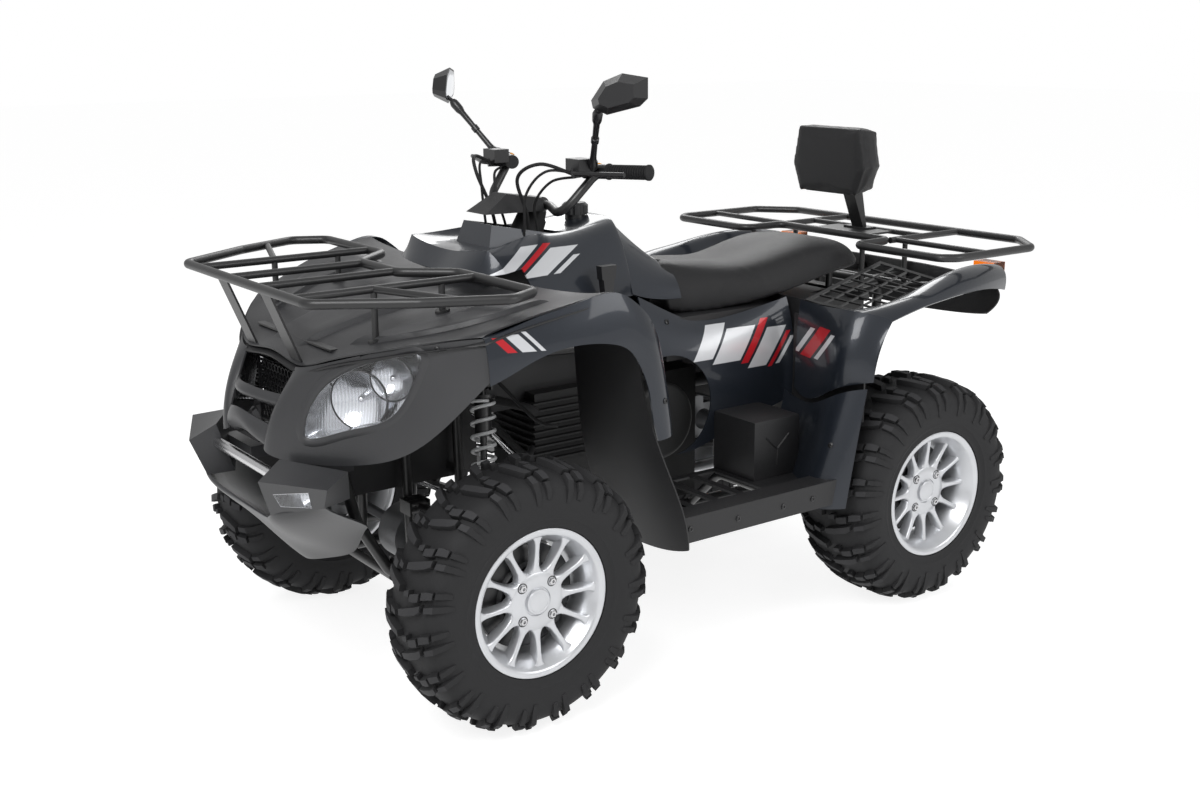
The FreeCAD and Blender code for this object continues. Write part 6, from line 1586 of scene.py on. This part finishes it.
def make_nose_mesh(sizes):
    """A framed sheet of six-sided holes behind the blades of the nose."""
    low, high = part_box("grille")
    back = max(v.co.y for v in NODES["grille"].data.vertices)
    cell = sizes.comb_cell
    radius = cell / math.sqrt(3)
    section = ((1, 0), (1 - COMB_BAR_SHARE, 0), (1 - COMB_BAR_SHARE, -COMB_DEPTH), (1, -COMB_DEPTH))
    mesh = bmesh.new()
    for j in range(int((high.z - low.z - cell) / (radius * 1.5))):
        for i in range(int((high.x - low.x - cell) / cell)):
            x = low.x + cell * (COMB_START[0] + i + (0.5 if j % 2 else 0))
            z = low.z + cell * COMB_START[1] + radius * 1.5 * j
            if x + cell / 2 <= high.x:
                rings = [six_sided(Vector((x, back + y, z)), radius * grow) for grow, y in section]
                join_rings(mesh, rings, loop=True)
    piece = add_piece("nose_mesh", mesh, "chassis", "smooth_black", 30)
    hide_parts("grille")

    wide, deep = COMB_FRAME
    rings = []
    for inset, y in ((0, 0), (wide, 0), (wide, -deep), (0, -deep)):
        xs, zs = (low.x + inset, high.x - inset), (low.z + inset, high.z - inset)
        rings.append([Vector((xs[i], back + y, zs[j])) for i, j in ((0, 0), (1, 0), (1, 1), (0, 1))])
    mesh = bmesh.new()
    join_rings(mesh, rings, loop=True)
    add_piece("nose_mesh_rim", mesh, "chassis", "smooth_black", 30)


# Screws: node, and the places along and up its left side, in metres.
SIDE_SCREWS = (
    ("front_mudguards", ((-0.245, 0.80), (-0.235, 0.66), (-0.235, 0.50), (-0.3, 0.36))),
    ("rear_guards", ((0.27, 0.60), (0.285, 0.50), (0.27, 0.38))),
    ("footboards", ((-0.2, 0.385), (-0.05, 0.38), (0.1, 0.38), (0.2, 0.38))),
    ("rear_fender_left", ((0.36, 0.62), (0.42, 0.86), (0.98, 0.82))),
    ("front_fender_left", ((-0.30, 0.72), (-0.70, 0.93))),
    ("side_panels", ((0.02, 0.80), (0.30, 0.50), (0.38, 0.52), (-0.02, 0.50))),
    ("cowl", ((-0.76, 0.72), (-0.80, 0.88))),
)
# A screw's head: shares of its height and of its radius.
SCREW_PROFILE = ((-0.5, 0.9), (0.0, 1.0), (0.55, 0.96), (0.9, 0.72), (1.0, 0.4), (0.5, 0.34))
REACH_IN = 0.8


def make_screws(sizes):
    """Round panel screws, each seated square on the skin that it holds, where a ray from outside meets it."""
    profile = [(a * sizes.screw_height, b * sizes.screw_radius) for a, b in SCREW_PROFILE]
    mesh = bmesh.new()
    for node, places in SIDE_SCREWS:
        for y, z in places:
            hit, spot, normal, _ = NODES[node].ray_cast(Vector((REACH_IN, y, z)), Vector((-1, 0, 0)))
            if not hit:
                continue
            normal = normal if normal.x > 0 else -normal
            for side in SIDES.values():
                turn(mesh, profile, mirrored(spot, side), mirrored(normal, side), 20)
    add_piece("panel_screws", mesh, "chassis", "smooth_black", 40)


# Camera, light and floor.

# Where the photograph's camera stood and how it looked, by a fit to the wheels and racks.
CAMERA_PLACE = Vector((3.04598, -2.26445, 1.53423))
CAMERA_YAW = math.radians(54.010)
CAMERA_PITCH = math.radians(14.479)
CAMERA_ROLL = math.radians(-0.349)
CAMERA_LENS = 43.05
SENSOR_WIDTH = 36.0


def make_camera():
    camera = bpy.data.cameras.new("studio_camera")
    camera.lens = CAMERA_LENS
    camera.sensor_width = SENSOR_WIDTH
    flat = math.cos(CAMERA_PITCH)
    ahead = Vector((-math.sin(CAMERA_YAW) * flat, math.cos(CAMERA_YAW) * flat, -math.sin(CAMERA_PITCH)))
    level = ahead.cross(Vector((0, 0, 1))).normalized()
    rise = level.cross(ahead)
    across = level * math.cos(CAMERA_ROLL) + rise * math.sin(CAMERA_ROLL)
    up = rise * math.cos(CAMERA_ROLL) - level * math.sin(CAMERA_ROLL)
    place = Matrix((across, up, -ahead)).transposed().to_4x4()
    place.translation = CAMERA_PLACE
    holder = bpy.data.objects.new("studio_camera", camera)
    bpy.context.scene.collection.objects.link(holder)
    holder.matrix_world = place
    bpy.context.scene.camera = holder


def make_lamp(name, place, aim, size, power):
    light = bpy.data.lights.new(name, "AREA")
    light.shape = "RECTANGLE"
    light.size, light.size_y = size
    light.energy = power
    holder = bpy.data.objects.new(name, light)
    bpy.context.scene.collection.objects.link(holder)
    way = Vector(aim) - Vector(place)
    holder.rotation_euler = way.to_track_quat("-Z", "Y").to_euler()
    holder.location = place


FLOOR_REACH = 30.0
FLOOR_THICKNESS = 0.02
FLOOR_TONE = (0.85, 0.85, 0.85, 1)
# How much of its own glow the camera sees on the floor, and how bright that glow is.
FLOOR_LIFT = 0.57
FLOOR_GLOW = 1.5
# Strength of the white world: as a light, and as what a glossy face shows. The camera sees a strength of 1.
WORLD_LIGHT = 0.36
WORLD_SHINE = 0.62
WHITE = (1, 1, 1, 1)
# Lamps: name, place, where they aim, size in metres and power in watts.
LAMPS = (
    ("key_light", (2.5, -3.5, 4.2), (0, 0, 0.5), (2.4, 2.4), 170.0),
    ("side_light", (4.5, 2.0, 2.8), (0, 0.2, 0.5), (3.0, 2.0), 70.0),
    ("back_light", (-3.5, 3.0, 3.5), (0, 0, 0.6), (3.0, 2.0), 80.0),
)


def make_floor():
    """White paper, brightened where the camera sees it so that it runs into the backdrop."""
    mesh = bmesh.new()
    brick(
        mesh,
        Vector((-FLOOR_REACH, -FLOOR_REACH, -FLOOR_THICKNESS)),
        Vector((FLOOR_REACH, FLOOR_REACH, 0)),
    )
    data = bpy.data.meshes.new("floor")
    mesh.to_mesh(data)
    mesh.free()
    floor = bpy.data.objects.new("floor", data)
    bpy.context.scene.collection.objects.link(floor)

    constants = {"Base Color": FLOOR_TONE, "Roughness": 0.9, "Specular IOR Level": 0.1}
    finish = Finish("floor_paper", constants)
    rays = finish.node("ShaderNodeLightPath", output="Is Camera Ray")
    seen = (rays + rays.output("Is Glossy Ray") + rays.output("Is Transmission Ray")).clamped()
    glow = finish.node("ShaderNodeEmission", inputs={"Color": WHITE, "Strength": FLOOR_GLOW})
    paper = Signal(finish, finish.shader.outputs[0])
    shown = finish.node("ShaderNodeMixShader", inputs=[seen * FLOOR_LIFT, paper, glow])
    finish.tree.links.new(shown.socket, finish.tree.nodes["Material Output"].inputs["Surface"])
    data.materials.append(finish.material)


def make_backdrop():
    """A white world that lights less than it shows."""
    world = bpy.data.worlds.new("studio")
    world.use_nodes = True
    bpy.context.scene.world = world
    backdrop = NodeTree(world.node_tree)
    rays = backdrop.node("ShaderNodeLightPath", output="Is Camera Ray")
    seen = (rays + rays.output("Is Transmission Ray")).clamped()
    shine = rays.output("Is Glossy Ray") * (1 - seen) * (WORLD_SHINE - WORLD_LIGHT)
    strength = seen * (1 - WORLD_LIGHT) + shine + WORLD_LIGHT
    ground = world.node_tree.nodes["Background"]
    ground.inputs["Color"].default_value = WHITE
    world.node_tree.links.new(strength.socket, ground.inputs["Strength"])


def paint_nodes():
    for finish, names in NODE_FINISHES.items():
        for name in names:
            data = NODES[name].data
            data.materials.clear()
            data.materials.append(finish_of(finish))


# One operator for each piece or group of like pieces, and one for the stage.


class QUAD_OT_stage(bpy.types.Operator):
    """Set up the camera, the lamps, the white backdrop and the floor"""

    bl_idname = "quad.stage"
    bl_label = "Studio stage"

    def execute(self, context):
        make_camera()
        make_floor()
        make_backdrop()
        for lamp in LAMPS:
            make_lamp(*lamp)
        context.scene.view_settings.view_transform = "Standard"
        return {"FINISHED"}


class QUAD_OT_finishes(bpy.types.Operator):
    """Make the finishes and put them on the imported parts"""

    bl_idname = "quad.finishes"
    bl_label = "Finishes"

    def execute(self, context):
        make_finishes(context.scene.quad_colours)
        paint_nodes()
        return {"FINISHED"}


class QUAD_OT_tyres(bpy.types.Operator):
    """Make the four tyres with their lugs"""

    bl_idname = "quad.tyres"
    bl_label = "Tyres"

    def execute(self, context):
        for name in WHEELS:
            make_tyre(name, context.scene.quad_tyres)
        return {"FINISHED"}


class QUAD_OT_wheels(bpy.types.Operator):
    """Make the four rims with their nuts, caps and brake housings"""

    bl_idname = "quad.wheels"
    bl_label = "Wheels"

    def execute(self, context):
        for name in WHEELS:
            make_wheel(name, context.scene.quad_wheels)
        return {"FINISHED"}


class QUAD_OT_springs(bpy.types.Operator):
    """Wind the four coil springs"""

    bl_idname = "quad.springs"
    bl_label = "Springs"

    def execute(self, context):
        make_springs(context.scene.quad_springs)
        return {"FINISHED"}


class QUAD_OT_lamps(bpy.types.Operator):
    """Make the headlamps and the fog lamps"""

    bl_idname = "quad.lamps"
    bl_label = "Lamps"

    def execute(self, context):
        make_headlamps(context.scene.quad_trim)
        make_fog_lamps(context.scene.quad_trim)
        return {"FINISHED"}


class QUAD_OT_seat(bpy.types.Operator):
    """Pad the saddle and the back pad"""

    bl_idname = "quad.seat"
    bl_label = "Seat and back pad"

    def execute(self, context):
        make_seat(context.scene.quad_seat)
        make_back_pad(context.scene.quad_seat)
        return {"FINISHED"}


class QUAD_OT_bar(bpy.types.Operator):
    """Add grips, buttons, hoses and cables, instrument face, column boot, mirror arms and mirror glass"""

    bl_idname = "quad.bar"
    bl_label = "Bar fittings"

    def execute(self, context):
        make_grips(context.scene.quad_bar)
        make_runs(context.scene.quad_bar)
        make_pod_face()
        make_column_boot()
        make_mirror_arms()
        make_mirror_glass()
        return {"FINISHED"}


class QUAD_OT_screws(bpy.types.Operator):
    """Put screws on the panels, which have to stand as packed because a replaced one can't be measured"""

    bl_idname = "quad.screws"
    bl_label = "Panel screws"

    def execute(self, context):
        make_screws(context.scene.quad_trim)
        return {"FINISHED"}


class QUAD_OT_hood(bpy.types.Operator):
    """Add the hood's liner of painted shade and its raised panels, and the cooler"""

    bl_idname = "quad.hood"
    bl_label = "Hood"

    def execute(self, context):
        make_shade_liner()
        make_hood_panels()
        return {"FINISHED"}


class QUAD_OT_covers(bpy.types.Operator):
    """Add the dark sheets of painted shade behind the seams and the covers of the step blocks"""

    bl_idname = "quad.covers"
    bl_label = "Backings and step covers"

    def execute(self, context):
        make_shade_sheets()
        make_step_covers()
        return {"FINISHED"}


class QUAD_OT_engine(bpy.types.Operator):
    """Add the engine's fins, and the hoses and pipes beside it"""

    bl_idname = "quad.engine"
    bl_label = "Engine"

    def execute(self, context):
        make_engine_dressing()
        return {"FINISHED"}


class QUAD_OT_nose(bpy.types.Operator):
    """Make the mesh behind the nose's blades"""

    bl_idname = "quad.nose"
    bl_label = "Nose mesh"

    def execute(self, context):
        make_nose_mesh(context.scene.quad_trim)
        return {"FINISHED"}


OPERATORS = (
    QUAD_OT_finishes,
    QUAD_OT_stage,
    QUAD_OT_tyres,
    QUAD_OT_wheels,
    QUAD_OT_springs,
    QUAD_OT_lamps,
    QUAD_OT_seat,
    QUAD_OT_bar,
    QUAD_OT_screws,
    QUAD_OT_hood,
    QUAD_OT_covers,
    QUAD_OT_engine,
    QUAD_OT_nose,
)


class QUAD_PT_panel(bpy.types.Panel):
    """Sizes, colours and makers of the quad bike"""

    bl_idname = "QUAD_PT_panel"
    bl_label = "Quad bike"
    bl_space_type = "VIEW_3D"
    bl_region_type = "UI"
    bl_category = "Quad bike"

    def draw(self, context):
        for operator in OPERATORS:
            self.layout.operator(operator.bl_idname)
        for name, group in GROUPS.items():
            box = self.layout.box()
            for field in group.__annotations__:
                box.prop(getattr(context.scene, name), field)


def register():
    for group in GROUPS.values():
        bpy.utils.register_class(group)
    for name, group in GROUPS.items():
        setattr(bpy.types.Scene, name, bpy.props.PointerProperty(type=group))
    for made in (*OPERATORS, QUAD_PT_panel):
        bpy.utils.register_class(made)


def unregister():
    for made in reversed((*OPERATORS, QUAD_PT_panel)):
        bpy.utils.unregister_class(made)
    for name, group in GROUPS.items():
        delattr(bpy.types.Scene, name)
        bpy.utils.unregister_class(group)


def main():
    register()
    for operator in OPERATORS:
        area, step = operator.bl_idname.split(".")
        getattr(getattr(bpy.ops, area), step)()


if __name__ == "__main__":
    main()
